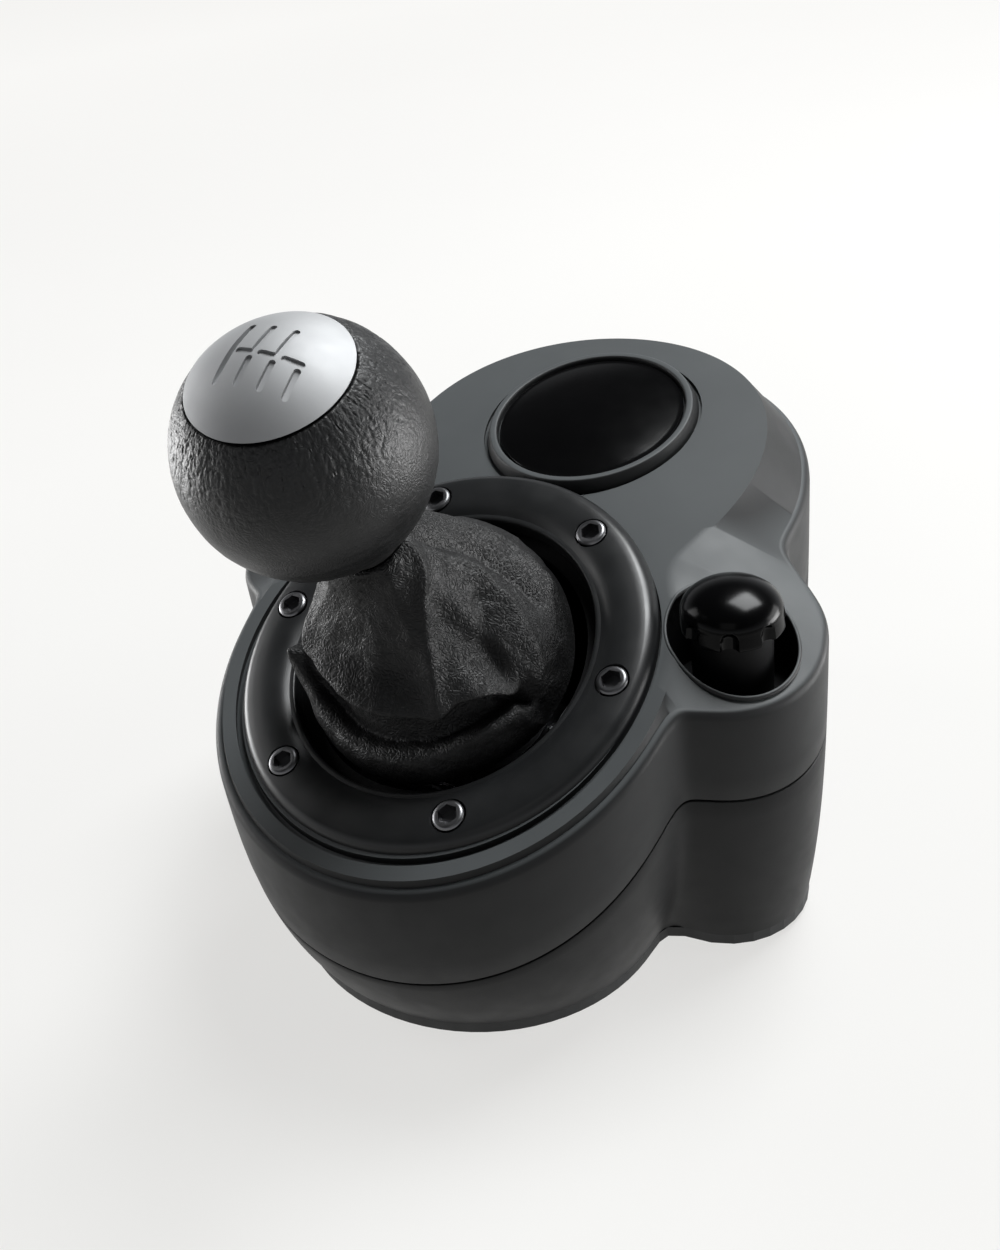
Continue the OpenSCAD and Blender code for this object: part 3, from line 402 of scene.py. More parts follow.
def finish_of(name, dark, light, rough, grain=2500.0, depth=0.00004, strength=0.35,
              metal=0.0, drift=30.0, stretch=None, specular=0.5, steep_shade=None):
    """A plastic, paint or metal with a fine grain, and if asked two darker tones on steep faces:
    painted shade, which leaves level faces lighter as if lit.
    """
    m, nt, bsdf, where = shader(name)
    drifting = noise_node(nt, where, drift, 4)
    colour = tint(nt, drifting, dark, light)
    # Painted shade: faces that tilt away from up take the darker steep tones, level faces keep the
    # lighter colour, by how the light falls on them
    if steep_shade:
        facing = nt.nodes.new("ShaderNodeNewGeometry")
        up_share = height_of(nt, facing.outputs["Normal"])
        blend = nt.nodes.new("ShaderNodeMix")
        blend.data_type = "RGBA"
        nt.links.new(spread(nt, up_share, 0.0, 1.0, STEEP_FROM, STEEP_TO), blend.inputs[0])
        nt.links.new(tint(nt, drifting, *steep_shade), blend.inputs[6])
        nt.links.new(colour, blend.inputs[7])
        colour = blend.outputs[2]
    patches = noise_node(nt, where, drift * 5, 5, stretch)
    grains = noise_node(nt, where, grain, 2, stretch)
    nt.links.new(colour, bsdf.inputs["Base Color"])
    nt.links.new(spread(nt, patches, *rough), bsdf.inputs["Roughness"])
    nt.links.new(bump(nt, grains, depth, strength), bsdf.inputs["Normal"])
    bsdf.inputs["Metallic"].default_value = metal
    bsdf.inputs["Specular IOR Level"].default_value = specular
    return m


def leather(name, dark, light, rough, cell, depth, crease, specular):
    """Grained leather: cells with sunk borders, over soft creases."""
    m, nt, bsdf, where = shader(name)
    warp = nt.nodes.new("ShaderNodeMix")
    warp.data_type, warp.blend_type = "VECTOR", "MIX"
    warp.inputs["Factor"].default_value = 0.004
    wobble = nt.nodes.new("ShaderNodeTexNoise")
    wobble.inputs["Scale"].default_value = 260
    nt.links.new(where, wobble.inputs["Vector"])
    nt.links.new(where, warp.inputs[4])
    nt.links.new(wobble.outputs["Color"], warp.inputs[5])
    cells = nt.nodes.new("ShaderNodeTexVoronoi")
    cells.feature = "DISTANCE_TO_EDGE"
    cells.inputs["Scale"].default_value = cell
    nt.links.new(warp.outputs[1], cells.inputs["Vector"])
    domes = spread(nt, cells.outputs["Distance"], 0.0, 1.0, 0.0, 0.28)
    soft = noise_node(nt, where, crease, 5)
    pores = noise_node(nt, where, cell * 5, 2)
    normal = bump(nt, soft, depth * 4, 0.35)
    normal = bump(nt, domes, depth, 0.8, normal)
    normal = bump(nt, pores, depth * 0.2, 0.25, normal)
    shade = either(nt, "MULTIPLY", spread(nt, soft, 0.55, 1.0), spread(nt, domes, 0.35, 1.0, 0, 1))
    nt.links.new(normal, bsdf.inputs["Normal"])
    nt.links.new(tint(nt, shade, dark, light), bsdf.inputs["Base Color"])
    nt.links.new(spread(nt, soft, *rough), bsdf.inputs["Roughness"])
    bsdf.inputs["Specular IOR Level"].default_value = specular
    return m


# One look for each material slot of the record
LOOK = {
    # The deck's level top is lighter and its steep walls darker: painted light and shade
    "deck": finish_of(
        "deck_plastic", (0.054, 0.0585, 0.0605), (0.064, 0.0693, 0.0716), (0.48, 0.55), 2600,
        0.00003, specular=0.28,
        steep_shade=((0.0125, 0.013, 0.0133), (0.0155, 0.016, 0.0165))),
    "body": finish_of(
        "wall_plastic", (0.010, 0.0103, 0.0107), (0.013, 0.0134, 0.0138), (0.42, 0.5), 2600,
        0.00003, specular=0.22),
    "base": finish_of(
        "base_plastic", (0.018, 0.019, 0.02), (0.024, 0.025, 0.026), (0.5, 0.62), 1800, 0.00006),
    "rubber": finish_of(
        "rubber", (0.012, 0.012, 0.012), (0.02, 0.02, 0.02), (0.75, 0.9), 1500, 0.0001, 0.5),
    "steel": finish_of(
        "steel", (0.42, 0.43, 0.45), (0.55, 0.56, 0.58), (0.22, 0.36), 1800, 0.00002, 0.3, 1.0),
    "brass": finish_of(
        "brass", (0.5, 0.36, 0.15), (0.62, 0.46, 0.22), (0.25, 0.4), 1800, 0.00002, 0.3, 1.0),
    "ring": finish_of(
        "ring_paint", (0.008, 0.0085, 0.009), (0.012, 0.0125, 0.013), (0.3, 0.38), 3000,
        0.00002, 0.3, specular=0.4),
    "black_steel": finish_of(
        "black_steel", (0.14, 0.14, 0.145), (0.2, 0.2, 0.206), (0.3, 0.4), 2200, 0.00002, 0.3, 1.0),
    "retainer": finish_of(
        "retainer_paint", (0.003, 0.003, 0.0032), (0.005, 0.005, 0.0052), (0.5, 0.6), 2200,
        specular=0.1),
    "boot_leather": leather(
        "boot_leather", (0.0018, 0.0018, 0.0019), (0.006, 0.006, 0.0062), (0.46, 0.56), 1050,
        0.00012, 120, 0.3),
    "ball_leather": leather(
        "ball_leather", (0.0015, 0.0016, 0.0017), (0.005, 0.0053, 0.0056), (0.4, 0.48), 1250,
        0.000045, 160, 0.45),
    "gloss_black": finish_of(
        "gloss_black", (0.001, 0.001, 0.0011), (0.0018, 0.0018, 0.002), (0.13, 0.17), 900,
        0.000006, 0.2, specular=0.35),
    "frame_metal": finish_of(
        "frame_metal", (0.14, 0.145, 0.15), (0.19, 0.195, 0.2), (0.4, 0.52), 1500, 0.00005),
    "gate_metal": finish_of(
        "gate_metal", (0.4, 0.41, 0.42), (0.52, 0.53, 0.54), (0.25, 0.38), 900, 0.00002, 0.3, 1.0,
        stretch=(1, 14, 1)),
    "mechanism_plastic": finish_of(
        "mechanism_plastic", (0.04, 0.042, 0.045), (0.055, 0.058, 0.062), (0.45, 0.6), 1800),
    "sensor_case": finish_of(
        "sensor_case", (0.02, 0.07, 0.035), (0.03, 0.095, 0.05), (0.4, 0.55), 1800),
    "board": finish_of("board", (0.008, 0.07, 0.025), (0.012, 0.1, 0.035), (0.3, 0.45), 1500),
    "gland_plastic": finish_of(
        "gland_plastic", (0.01, 0.01, 0.01), (0.016, 0.016, 0.016), (0.5, 0.65), 1500, 0.00006),
    "cap_metal": finish_of(
        "cap_metal", (0.36, 0.363, 0.368), (0.42, 0.423, 0.428), (0.66, 0.73), 2600,
        0.000015, 0.3, 1.0),
    "collar_plastic": finish_of(
        "collar_plastic", (0.008, 0.008, 0.008), (0.013, 0.013, 0.013), (0.35, 0.5), 1800),
}
KNOB = finish_of(
    "knob_gloss", (0.001, 0.001, 0.0011), (0.0018, 0.0018, 0.002), (0.16, 0.2), 900, 0.000006, 0.2,
    specular=0.12)
# Painted shade: a near-black that stands in for the shade down in the wells, on their cups and on
# the knobs' necks
WELL_SHADE = finish_of(
    "well_painted_shade", (0.003, 0.003, 0.0034), (0.005, 0.005, 0.0054), (0.42, 0.52), 1800, 0.00003,
    specular=0.12)
slot_of = {s["node"]: s["material_slot"] for s in frame["record"]["subparts"]}
for node, obj in frame["nodes"].items():
    obj.data.materials.clear()
    obj.data.materials.append(LOOK[slot_of[node]])


def piece(obj, body, nodes=(), look=None, slot=None):
    """Dresses a piece, sets it on its body and hides the CAD nodes it stands for."""
    slot = slot or slot_of[nodes[0]]
    obj.data.materials.clear()
    obj.data.materials.append(look or LOOK[slot])
    if body:
        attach(obj, body)
    if nodes:
        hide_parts(*nodes)
    return obj


# Upper housing: deck, rolled crease and skirt, with the ring's opening and both wells cut out
BEVEL, EDGE, WELL_SIDES, GROOVE_SIDES = 0.15, 0.5, 160, 240
middle = float(deck_z(np.array(POLE_Y)))
deep = skirt(TURN)
rings = [deck_ring(f, 0) for f in np.linspace(0.05, 1, 20)]
rings += [roll_ring(b) for b in (8, 18, 30, 42, 54, 66, 78, 90)]
rings += [wall_ring(CREASE + (deep - CREASE - EDGE) * t, 0) for t in (0.15, 0.35, 0.55, 0.75, 1)]
rings += [wall_ring(deep - BEVEL, BEVEL), wall_ring(deep, EDGE), wall_ring(deep, WALL)]
rings += [wall_ring(deep * 0.5, WALL), wall_ring(DECK_WALL + CREASE, WALL)]
rings += [deck_ring(f, DECK_WALL) for f in (0.94, 0.7, 0.4, 0.1)]
upper = skin("upper_shell", rings, (0, POLE_Y, middle), (0, POLE_Y, middle - DECK_WALL))
opening = prism("opening", circle(OPENING_R, WELL_SIDES), -60, 60, DECK)
wells = [
    prism("well", circle(WELL_R, WELL_SIDES, x, CLAMP_Y), RIM_Z - 40, RIM_Z + 60)
    for x in (-CLAMP_X, CLAMP_X)
]


def groove(name, place, inner, outer, depth):
    """A cutter that follows the deck, for the shadow gap round a part that stands on it."""
    rows = []
    for r, dz in ((inner, -depth), (outer, -depth), (outer, 5), (inner, 5)):
        ring_at = put(place, np.c_[circle(r, GROOVE_SIDES), np.zeros(GROOVE_SIDES)])
        rows.append(np.c_[ring_at[:, :2], deck_z(ring_at[:, 1]) + dz])
    return make(name, np.concatenate(rows), strips(4, GROOVE_SIDES, True))


grooves = [
    groove("ring_gap", DECK, RING_R - 0.5, RING_R + 1.1, 1.6),
    groove("bezel_gap", BADGE, BEZEL_R - 0.5, BEZEL_R + 0.8, 1.0),
]
piece(cut(upper, opening, *wells, *grooves), "housing", ["upper_housing"])

# Lower housing
rings = [foot_ring(0, EDGE), foot_ring(0, BEVEL, BEVEL), foot_ring(0, 0, EDGE)]
rings += [foot_ring(t, 0) for t in np.linspace(0.12, 1, 12)]
rings += [foot_ring(t, WALL) for t in (1, 0.6, 0.2, 0)]
piece(skin("lower_shell", rings), "housing", ["lower_housing"])

# Wells: cups that follow the shoulder, in a near-black that is painted shade, with rounded lips in
# the deck's colour
LIP_R, LIP_OUT, LIP_DROP = 0.45, 0.25, 0.3
CUP = [(0.5, 0), (WELL_R - 0.6, 0), (WELL_R - 0.15, 0.15), (WELL_R, 0.6), (WELL_R, None)]
for side, place in WELLS.items():
    rows = []
    for r, z in CUP:
        x, y = circle(r, WELL_SIDES, *place[1][:2]).T
        height = top_z(x, y) - LIP_R if z is None else place[1][2] + z + 0 * x
        rows.append(np.stack([x, y, height], -1))
    cup = make(f"well_cup_{side}", np.concatenate(rows), strips(len(rows), WELL_SIDES))
    piece(cup, "housing", look=WELL_SHADE, slot="deck")
    rows = []
    for b in np.radians(np.linspace(-100, 200, 13)):
        x, y = circle(WELL_R + LIP_OUT + LIP_R * math.cos(b), WELL_SIDES, *place[1][:2]).T
        rows.append(np.stack([x, y, top_z(x, y) - LIP_DROP + LIP_R * math.sin(b)], -1))
    lip = make(f"well_lip_{side}", np.concatenate(rows), strips(len(rows), WELL_SIDES))
    piece(lip, "housing", slot="deck")

# Boot ring with counterbored screws
BORE_R, BORE_RIM_R, HEX_R = 3.9, 4.1, 2.35
BORE = [(0, SCREW_SEAT), (BORE_R, SCREW_SEAT), (BORE_R, -0.25)]
BORE += [(BORE_RIM_R, 0.0), (BORE_RIM_R, 2), (0, 2)]
SCREW = [(0, -8), (2, -8), (2, 0), (3.3, 0)] + arc(2.95, 0.35, 0.55, -40, 0, 3)
SCREW += [(3.5, 2.9), (3.3, 3.2), (2.9, 3.42), (2.55, 3.42), (0, 3.42)]
profile = [(36, -5.5), (40.8, -5.5), (40.8, -6.5), (48, -6.5), (RING_R, -4)]
profile += arc(46.2, -4, 3.8, 0, 72, 14)
profile += [(46, -0.2), (44.5, -0.05), (43, 0), (41, -0.1), (39.4, -0.4), (38.2, -0.85)]
profile += [(37.4, -1.3)] + arc(36.7, -1.95, 0.7, 80, 180, 6)


def on_ring(a, z):
    """A place on the circle of the screws."""
    return DECK[1] + LEVER @ [SCREW_CIRCLE_R * math.cos(a), SCREW_CIRCLE_R * math.sin(a), z]


ring = lathe("boot_ring_body", profile, DECK, 320, CRISP)
bores = [lathe("bore", BORE, (LEVER, on_ring(a, 0)), 64) for a in SCREW_ANGLES]
piece(cut(ring, *bores, smooth=CRISP), "housing", ["boot_ring"])
for i, a in enumerate(SCREW_ANGLES):
    seat = (LEVER @ turned("Z", a), on_ring(a, SCREW_SEAT))
    head = lathe(f"ring_screw_{i}", SCREW, seat, 64, CRISP)
    cut(head, prism("hex", circle(HEX_R, 6), 1.0, 6, seat), smooth=CRISP)
    piece(head, "housing", ["ring_screws"])

# Badge: domed bare disc in its tapered bezel
DISC_R, DISC_RISE, DISC_TOP = 23.4, 2.2, 3.2
dome_r = (DISC_R ** 2 + DISC_RISE ** 2) / (2 * DISC_RISE)
profile = [(0, -1), (23.3, -1), (23.3, 0.6)] + arc(22.85, 0.75, 0.45, 0, 60, 5)
profile += [
    (dome_r * math.sin(t), DISC_TOP - dome_r * (1 - math.cos(t)))
    for t in np.linspace(math.asin(22.9 / dome_r), 0, 24)
]
piece(lathe("badge_dome", profile, BADGE, 256, CRISP), "housing", ["badge_disc"])
profile = [(23.9, -1), (BEZEL_R, -1), (BEZEL_R, -0.7)]
profile += arc(25.3, 1.4, 0.6, 20, 90, 6) + arc(24.5, 1.4, 0.6, 90, 180, 6)
piece(lathe("badge_bezel_body", profile, BADGE, 256, CRISP), "housing", ["badge_bezel"])

# Clamp knobs: smooth domes with round-topped finger grips round the band, on necks in the wells'
# painted-shade black
KNOB_R, BAND_R, NECK_R, DOME, GRIPS, GRIP_R = 11.0, 11.4, 8.8, 6.0, 8, 2.0
BAND, RIM = WELL_DEPTH + 3.5, WELL_DEPTH + 7.0
BAND_EDGE, GRIP_TOP = BAND + 0.7, BAND + 4.6


def gripped(a, r, z):
    """Radius of the knob at each angle, with the grips taken out of its band."""
    if r < KNOB_R - 2.4:
        return r + 0 * a
    pitch, seat = 2 * math.pi / GRIPS, BAND_R + 0.3
    off = (a + 2 * math.pi) % pitch - pitch / 2
    wide = math.sqrt(max(0.0, GRIP_R ** 2 - max(0.0, z - GRIP_TOP + GRIP_R) ** 2))
    across = seat * np.sin(off)
    bite = seat * np.cos(off) - np.sqrt(np.maximum(0, wide ** 2 - across ** 2))
    return np.where(np.abs(across) < wide, np.minimum(r, bite), r)


profile = [(0, BAND), (NECK_R, BAND), (BAND_R - 0.5, BAND)]
profile += arc(BAND_R - 0.4, BAND + 0.4, 0.4, -70, 0, 4)
profile += [
    (BAND_R + (KNOB_R - BAND_R) * t, BAND_EDGE + (RIM - BAND_EDGE) * t)
    for t in np.linspace(0, 1, 12)
]
profile += [
    (KNOB_R * math.cos(t), RIM + DOME * math.sin(t))
    for t in np.linspace(0.06, math.pi / 2 - 0.03, 30)
]
profile += [(0, RIM + DOME)]
NECK = [(0, 0.3), (NECK_R, 0.3), (NECK_R, BAND + 0.2), (0, BAND + 0.2)]
for side, place in WELLS.items():
    knob = lathe(f"clamp_dome_{side}", profile, place, 320, 40, gripped)
    piece(knob, f"clamp_knob_{side}", [f"clamp_knob_{side}"], KNOB)
    neck = lathe(f"clamp_neck_{side}", NECK, place, 96)
    piece(neck, f"clamp_knob_{side}", look=WELL_SHADE, slot="gloss_black")

# Lever: collar, push spring, ball and cap
COLLAR_TOP = COLLAR_Z + 4.9
profile = [(5, COLLAR_Z), (8.5, COLLAR_Z)] + arc(9.4, COLLAR_Z + 3, 0.6, -50, 0, 4)
profile += [(COLLAR_R, COLLAR_TOP), (5, COLLAR_TOP)]
piece(lathe("lever_collar", profile, PIVOT), "shaft", ["knob_collar"])


def push_spring(turns=5, steps=24, sides=12):
    """The coil round the shaft, built at one length, though the real coil shortens as the lever is
    pushed down.
    """
    t = np.linspace(0, 1, turns * steps + 1)[:, None]
    a = 2 * math.pi * turns * t
    b = -around(sides)
    reach = SPRING_R + SPRING_WIRE * np.cos(b)
    z = SPRING_LOW + SPRING_WIRE + (SPRING_TOP - SPRING_LOW - 2 * SPRING_WIRE) * t
    points = np.stack([reach * np.cos(a), reach * np.sin(a), z + SPRING_WIRE * np.sin(b)], -1)
    rows = len(points)
    faces = strips(rows, sides)
    faces += [tuple(range(sides)), tuple(range((rows - 1) * sides, rows * sides))[::-1]]
    return make("push_coil", put(PIVOT, points.reshape(-1, 3)), faces, 40)


coil = piece(push_spring(), None, ["push_spring"])
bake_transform(coil)


def wave(x, y, z):
    return noise.noise(Vector((x, y, z)))


def ball_wrinkles(points):
    """Outward shifts of the ball's leather: fine creases near the cap, soft dents low down."""
    local = (points - CAP[1]) @ CAP[0] / BALL_R
    out = np.zeros(len(points))
    for i, (x, y, z) in enumerate(local):
        az, lat = math.atan2(y, x), math.asin(max(-1, min(1, z)))
        near = math.exp(-((lat - 0.66) / 0.46) ** 2)
        low = math.exp(-((lat + 0.65) / 0.4) ** 2)
        c, s = math.cos(az), math.sin(az)
        sway = 0.25 * wave(x * 5, y * 5, z * 5)
        pleat = wave(c * 9, s * 9, lat * 2.2)
        line = wave(c * 21 + sway, s * 21 + sway, lat * 6 + 7 + sway)
        fine = wave(c * 34 + sway, s * 34, lat * 11 + 2)
        sharp = max(0.0, 1 - abs(line) / 0.13) + 0.7 * max(0.0, 1 - abs(fine) / 0.16)
        dent = wave(c * 5, s * 5, lat * 16 + 3)
        swell = wave(x * 3, y * 3, z * 3)
        out[i] = near * (0.07 * pleat - 0.17 * sharp) + low * 0.16 * dent + 0.1 * swell - 0.13
    return out


def ball_cover(n=480, rows=200):
    """The ball's leather, from the collar up to the cap, with a lip turned in under the cap."""
    a = around(n)
    first, last = math.asin(-BALL_FOOT / BALL_R), math.asin(CAP_SEAT / BALL_R)
    points = []
    for t in np.linspace(0, 1, rows):
        lat = first + t * (last - first)
        # rows turn from the lever's axis at the bottom to the cap's axis at the top
        lever = hoop(math.cos(lat), math.sin(lat), a)
        mixed = lever @ LEVER.T * (1 - ease(np.array(t))) + lever @ CAP[0].T * ease(np.array(t))
        points.append(BALL[1] + BALL_R * mixed / np.linalg.norm(mixed, axis=1)[:, None])
    cover = np.concatenate(points)
    out = (cover - BALL[1]) / BALL_R
    cover = cover + out * ball_wrinkles(cover)[:, None]
    turned_in = ((CAP_R - 0.5, CAP_SEAT - 0.1), (CAP_R - 0.9, CAP_SEAT - 0.6), (6, CAP_SEAT - 0.8))
    lips = [put(CAP, hoop(r, z, a)) for r, z in turned_in]
    foot = put(BALL, hoop(5.2, -BALL_FOOT, a))
    every = np.concatenate([foot, cover, *lips])
    return make("ball_cover", every, strips(rows + len(lips) + 1, n), 50)


piece(ball_cover(), "shaft", ["knob_ball"])

cap_base = CAP_SEAT + 0.25
edge = math.acos((cap_base + 0.2) / BALL_R)
edge_r = BALL_R * math.sin(edge)
profile = [(0, cap_base), (edge_r - 0.7, cap_base), (edge_r - 0.25, cap_base + 0.1)]
profile += [(BALL_R * math.sin(t), BALL_R * math.cos(t)) for t in np.linspace(edge, 0, 48)]
cap = lathe("cap_shell", profile, CAP, 256, CRISP)

# The cap's engraved shift pattern: lanes, their length, the breaks, and the size of the lines
LANE, RUN, BREAK, LINE_W, LINE_DEPTH = 4.7, 6.8, 1.6, 1.3, 0.45
PATTERN_TURN, PATTERN_SHIFT = turned("Z", math.radians(4))[:2, :2], [1.5, 0]


def stroke(p, q):
    """Outline of a line with round ends."""
    p, q = np.array(p, float), np.array(q, float)
    d = (q - p) / np.linalg.norm(q - p)
    side = np.array([-d[1], d[0]])
    ends = []
    for centre, a0 in ((q, -90), (p, 90)):
        for a in np.radians(np.linspace(a0, a0 + 180, 9)):
            ends.append(centre + LINE_W / 2 * (math.cos(a) * d + math.sin(a) * side))
    return np.array(ends)


strokes = [((-1.5 * LANE, RUN), (-1.5 * LANE, -RUN))]
for k in range(3):
    x = (k - 0.5) * LANE
    strokes += [((x - LANE + BREAK, 0), (x, 0)), ((x, -BREAK), (x, -RUN))]
    if k < 2:
        strokes += [((x, 0), (x, RUN))]
for p, q in strokes:
    outline = stroke(p, q) @ PATTERN_TURN.T + PATTERN_SHIFT
    bed = np.sqrt((BALL_R - LINE_DEPTH) ** 2 - (outline ** 2).sum(1))
    cut(cap, prism("groove", outline, bed, BALL_R + 2, CAP), smooth=CRISP)
piece(cap, "shaft", ["knob_cap"])

# Boot: a faceted tent of leather that hangs over a tucked skirt, in the ring's frame
LEATHER, FOOT_H, TENT_TOP_H, TENT_FOOT_H, SKIRT_HOLD_H = 1.1, -5.4, 29, 18, 1.5
# Where the tent leaves the collar, where its hem usually hangs, and the way between them,
# each as radius and height
TENT_R, TENT_H, HEM_R, HEM_H, TENT_WIDE, TENT_DROP = 10.6, 38, 27.2, 13, 16.6, 25
# The hem round the driver's side as (angle, radius, height)
HEM = [
    (-200, 23, 19), (-165, 22, 20), (-145, 22.4, 20.5), (-120, 24.4, 19.2), (-96, 26.2, 18),
    (-78, 27, 16.6), (-62, 27.2, 14.2), (-52, 27.2, 13), (-40, 27.4, 13.6), (-31, 28.2, 13),
    (-25, 28.8, 10.8), (-19, 29.4, 6.8), (-12, 30.2, 1), (-4, 31, -2), (20, 31, -2),
]
# The plain slope at the back, from the top down, as (share of the way, radius, height)
BACK = [
    (0, 8, 40.9), (.03, 9, 40.3), (.1, 10.4, 37.4), (.25, 14, 31), (.4, 18.6, 24.6),
    (.52, 22.6, 19), (.59, 25, 15.4), (.625, 26.2, 13.4), (.655, 27, 11.8), (.69, 27.9, 10.2),
    (.735, 28.8, 8.1), (.775, 29.5, 6.1), (.82, 30.1, 4), (.87, 30.6, 2), (.92, 31, 0),
    (.96, 31.5, -3), (1, 32, FOOT_H),
]
# Folds as (height, angle) from the top down, with their lift and half width
RIDGES = [
    ([(40, 12), (35, -6), (31, -24), (25, -38), (19, -46), (13, -52), (10, -54)], 1.6, 2.4),
    ([(40, -172), (33, -160), (25, -148), (19, -130), (15, -124)], 1.5, 1.6),
    ([(40, 92), (34, 80), (27, 70), (20, 62), (12, 50), (5, 40)], 2.0, 3.4),
    ([(40, 190), (25, 178), (10, 160)], 1.2, 3.0),
    ([(26, 30), (21, 24), (15, 12), (9, 2), (4, -6)], 1.2, 3.2),
]
VALLEYS = [
    ([(38, 34), (31, 44), (26, 47), (20, 45), (15, 36), (9, 26)], 2.6, 2.4),
    ([(24, 14), (20, 7), (17.6, -5), (13, -12), (10, -17)], 1.6, 2.8),
    ([(34, -80), (24, -92), (18, -88)], 1.0, 7.0),
    ([(32, 128), (20, 122), (9, 112)], 2.0, 3.0),
    ([(33, -190), (22, -176), (14, -168)], 1.4, 2.6),
]
ROWS = [p[0] for p in BACK]


def column(table, k):
    return [p[k] for p in table]


def fold_angle(path, height):
    """The angle of a fold at each height."""
    return np.interp(height, column(path, 0)[::-1], column(path, 1)[::-1])


def hung_profiles(hem_r, hem_h):
    """Radius and height at each share of the way, for every angle, of the hanging leather."""
    flat = 0 * hem_r
    tuck = np.interp(hem_h, [1, 9], [29.5, 21.8])
    top = np.minimum(2.6, hem_h - 5)
    r = [8 + flat, 9.2 + flat, TENT_R + flat]
    h = [40.9 + flat, 40.5 + flat, TENT_H + flat]
    for out, down, own in ((.17, .285, 0), (.427, .549, .1), (.72, .78, .45), (.94, .935, .9)):
        wide = TENT_WIDE + (hem_r - HEM_R) * np.where(hem_r > HEM_R, own, 1)
        drop = TENT_DROP - (hem_h - HEM_H) * np.where(hem_h < HEM_H, own, 1)
        r.append(TENT_R + wide * out)
        h.append(TENT_H - drop * down)
    r += [hem_r, hem_r - 1, tuck, tuck - 0.7, np.maximum(24.2, tuck), np.maximum(27.4, tuck)]
    r += [30.2 + flat, 31.6 + flat, 32.2 + flat, 32 + flat]
    h += [hem_h, hem_h - 1.1, hem_h - 2.6, hem_h - 5.6, top - 2.2, top]
    h += [top - 0.3, np.minimum(-0.4, top - 3), np.minimum(-3, top - 4.5), FOOT_H + flat]
    return np.stack(r), np.stack(h)


def boot_surface(n=360, rows=190):
    """The boot's outer side as rows of points from the collar down to the ring."""
    a = around(n) - math.pi
    deg = np.degrees(a)
    t = np.linspace(0, 1, rows)

    def fill(table):
        out = np.stack([np.interp(t, ROWS, table[:, j]) for j in range(n)], 1)
        pad = np.pad(out, ((3, 3), (0, 0)), mode="edge")
        return sum(pad[i:i + rows] for i in range(7)) / 7

    hem = [np.interp(deg, column(HEM, 0), column(HEM, k)) for k in (1, 2)]
    hem = [(np.roll(v, 2) + np.roll(v, 1) + v + np.roll(v, -1) + np.roll(v, -2)) / 5 for v in hem]
    front = [fill(v) for v in hung_profiles(*hem)]
    back = [fill(np.tile(np.array(column(BACK, k))[:, None], n)) for k in (1, 2)]
    back[0] = back[0] * (1 - 0.055 * np.exp(-((deg - 36) / 30) ** 2) * ease(t / 0.4)[:, None])
    hung = ease((np.cos(a + math.radians(92)) - 0.06) / 0.28)
    r, h = (f * hung + b * (1 - hung) for f, b in zip(front, back))
    h = np.maximum(h, FOOT_H)
    # the skirt stands up in a flap on the driver's left, and bulges on the right
    flap = np.exp(-np.abs(((deg + 147 + 180) % 360 - 180) / 14) ** 1.3)
    roll = np.exp(-((t - 0.81) / 0.085) ** 2)
    h = h + roll[:, None] * flap * 11
    r = r + roll[:, None] * flap * 3.2
    bulge = np.exp(-((deg + 38) / 16) ** 2) * np.exp(-((t - 0.85) / 0.05) ** 2)[:, None]
    h, r = h + bulge * 2.4, r + bulge * 0.8
    # flat panels between the ridges
    level = np.clip(h, 6, 38)
    corners = np.stack([fold_angle(path, level) for path, _, _ in RIDGES])
    corners = np.sort((corners + 540) % 360 - 180, axis=0)
    corners = np.concatenate([corners[-1:] - 360, corners, corners[:1] + 360])
    flat = np.ones_like(r)
    for lo, hi in zip(corners, corners[1:]):
        inside = (deg >= lo) & (deg < hi)
        half = np.radians(np.minimum(hi - lo, 90)) / 2
        off = np.clip(np.radians(deg - (lo + hi) / 2), -half, half)
        flat = np.where(inside, np.cos(half) / np.cos(off), flat)
    tent = ease((0.64 - t) / 0.12)[:, None] * ease(t / 0.15)[:, None]
    r = r * (1 + (flat - 1) * 0.6 * tent)

    def lines(group, sign):
        total = np.zeros_like(r)
        for path, lift, width in group:
            gap = np.radians((deg - fold_angle(path, h) + 180) % 360 - 180) * r
            ends = ease((path[0][0] + 3 - h) / 6) * ease((h - path[-1][0] + 3) / 5)
            total += sign * lift * np.exp(-np.abs(gap / width) ** 1.5) * ends
        return total

    r = r + lines(RIDGES, 1) + lines(VALLEYS, -1)
    # one fold across the slope on the right
    across = ease((deg - 2) / 12) * ease((44 - deg) / 10)
    r = r - 1.3 * np.exp(-np.abs((h - 20.5) / 1.8) ** 1.5) * across
    for _ in range(3):
        r = (np.roll(r, 1, 1) + 2 * r + np.roll(r, -1, 1)) / 4
    ripple = np.zeros_like(r)
    for i in range(rows):
        for j in range(n):
            p = Vector((r[i, j] * math.cos(a[j]), r[i, j] * math.sin(a[j]), h[i, j]))
            big, small = noise.noise(p / 10), noise.noise(p / 4.5 + Vector((9, 0, 0)))
            ripple[i, j] = 0.55 * big + 0.38 * small + 0.14 * noise.noise(p / 1.9)
    ends = ease(t / 0.12) * ease((1 - t) / 0.12)
    r = r + ripple * ends[:, None]
    # below the ring's top the leather stays inside the ring
    r = np.where(h < 4, np.minimum(r, 34.6), r)
    return np.stack([r * np.cos(a), r * np.sin(a), h], -1)


def grid_normals(g):
    """Outward normals of rows of points round an axis."""
    along = np.roll(g, -1, 1) - np.roll(g, 1, 1)
    down = np.gradient(g, axis=0)
    nrm = np.cross(along, down)
    nrm /= np.linalg.norm(nrm, axis=-1, keepdims=True)
    flip = np.sign((nrm[len(g) // 3] * (g[len(g) // 3] - [0, 0, 10])).sum())
    return nrm * flip


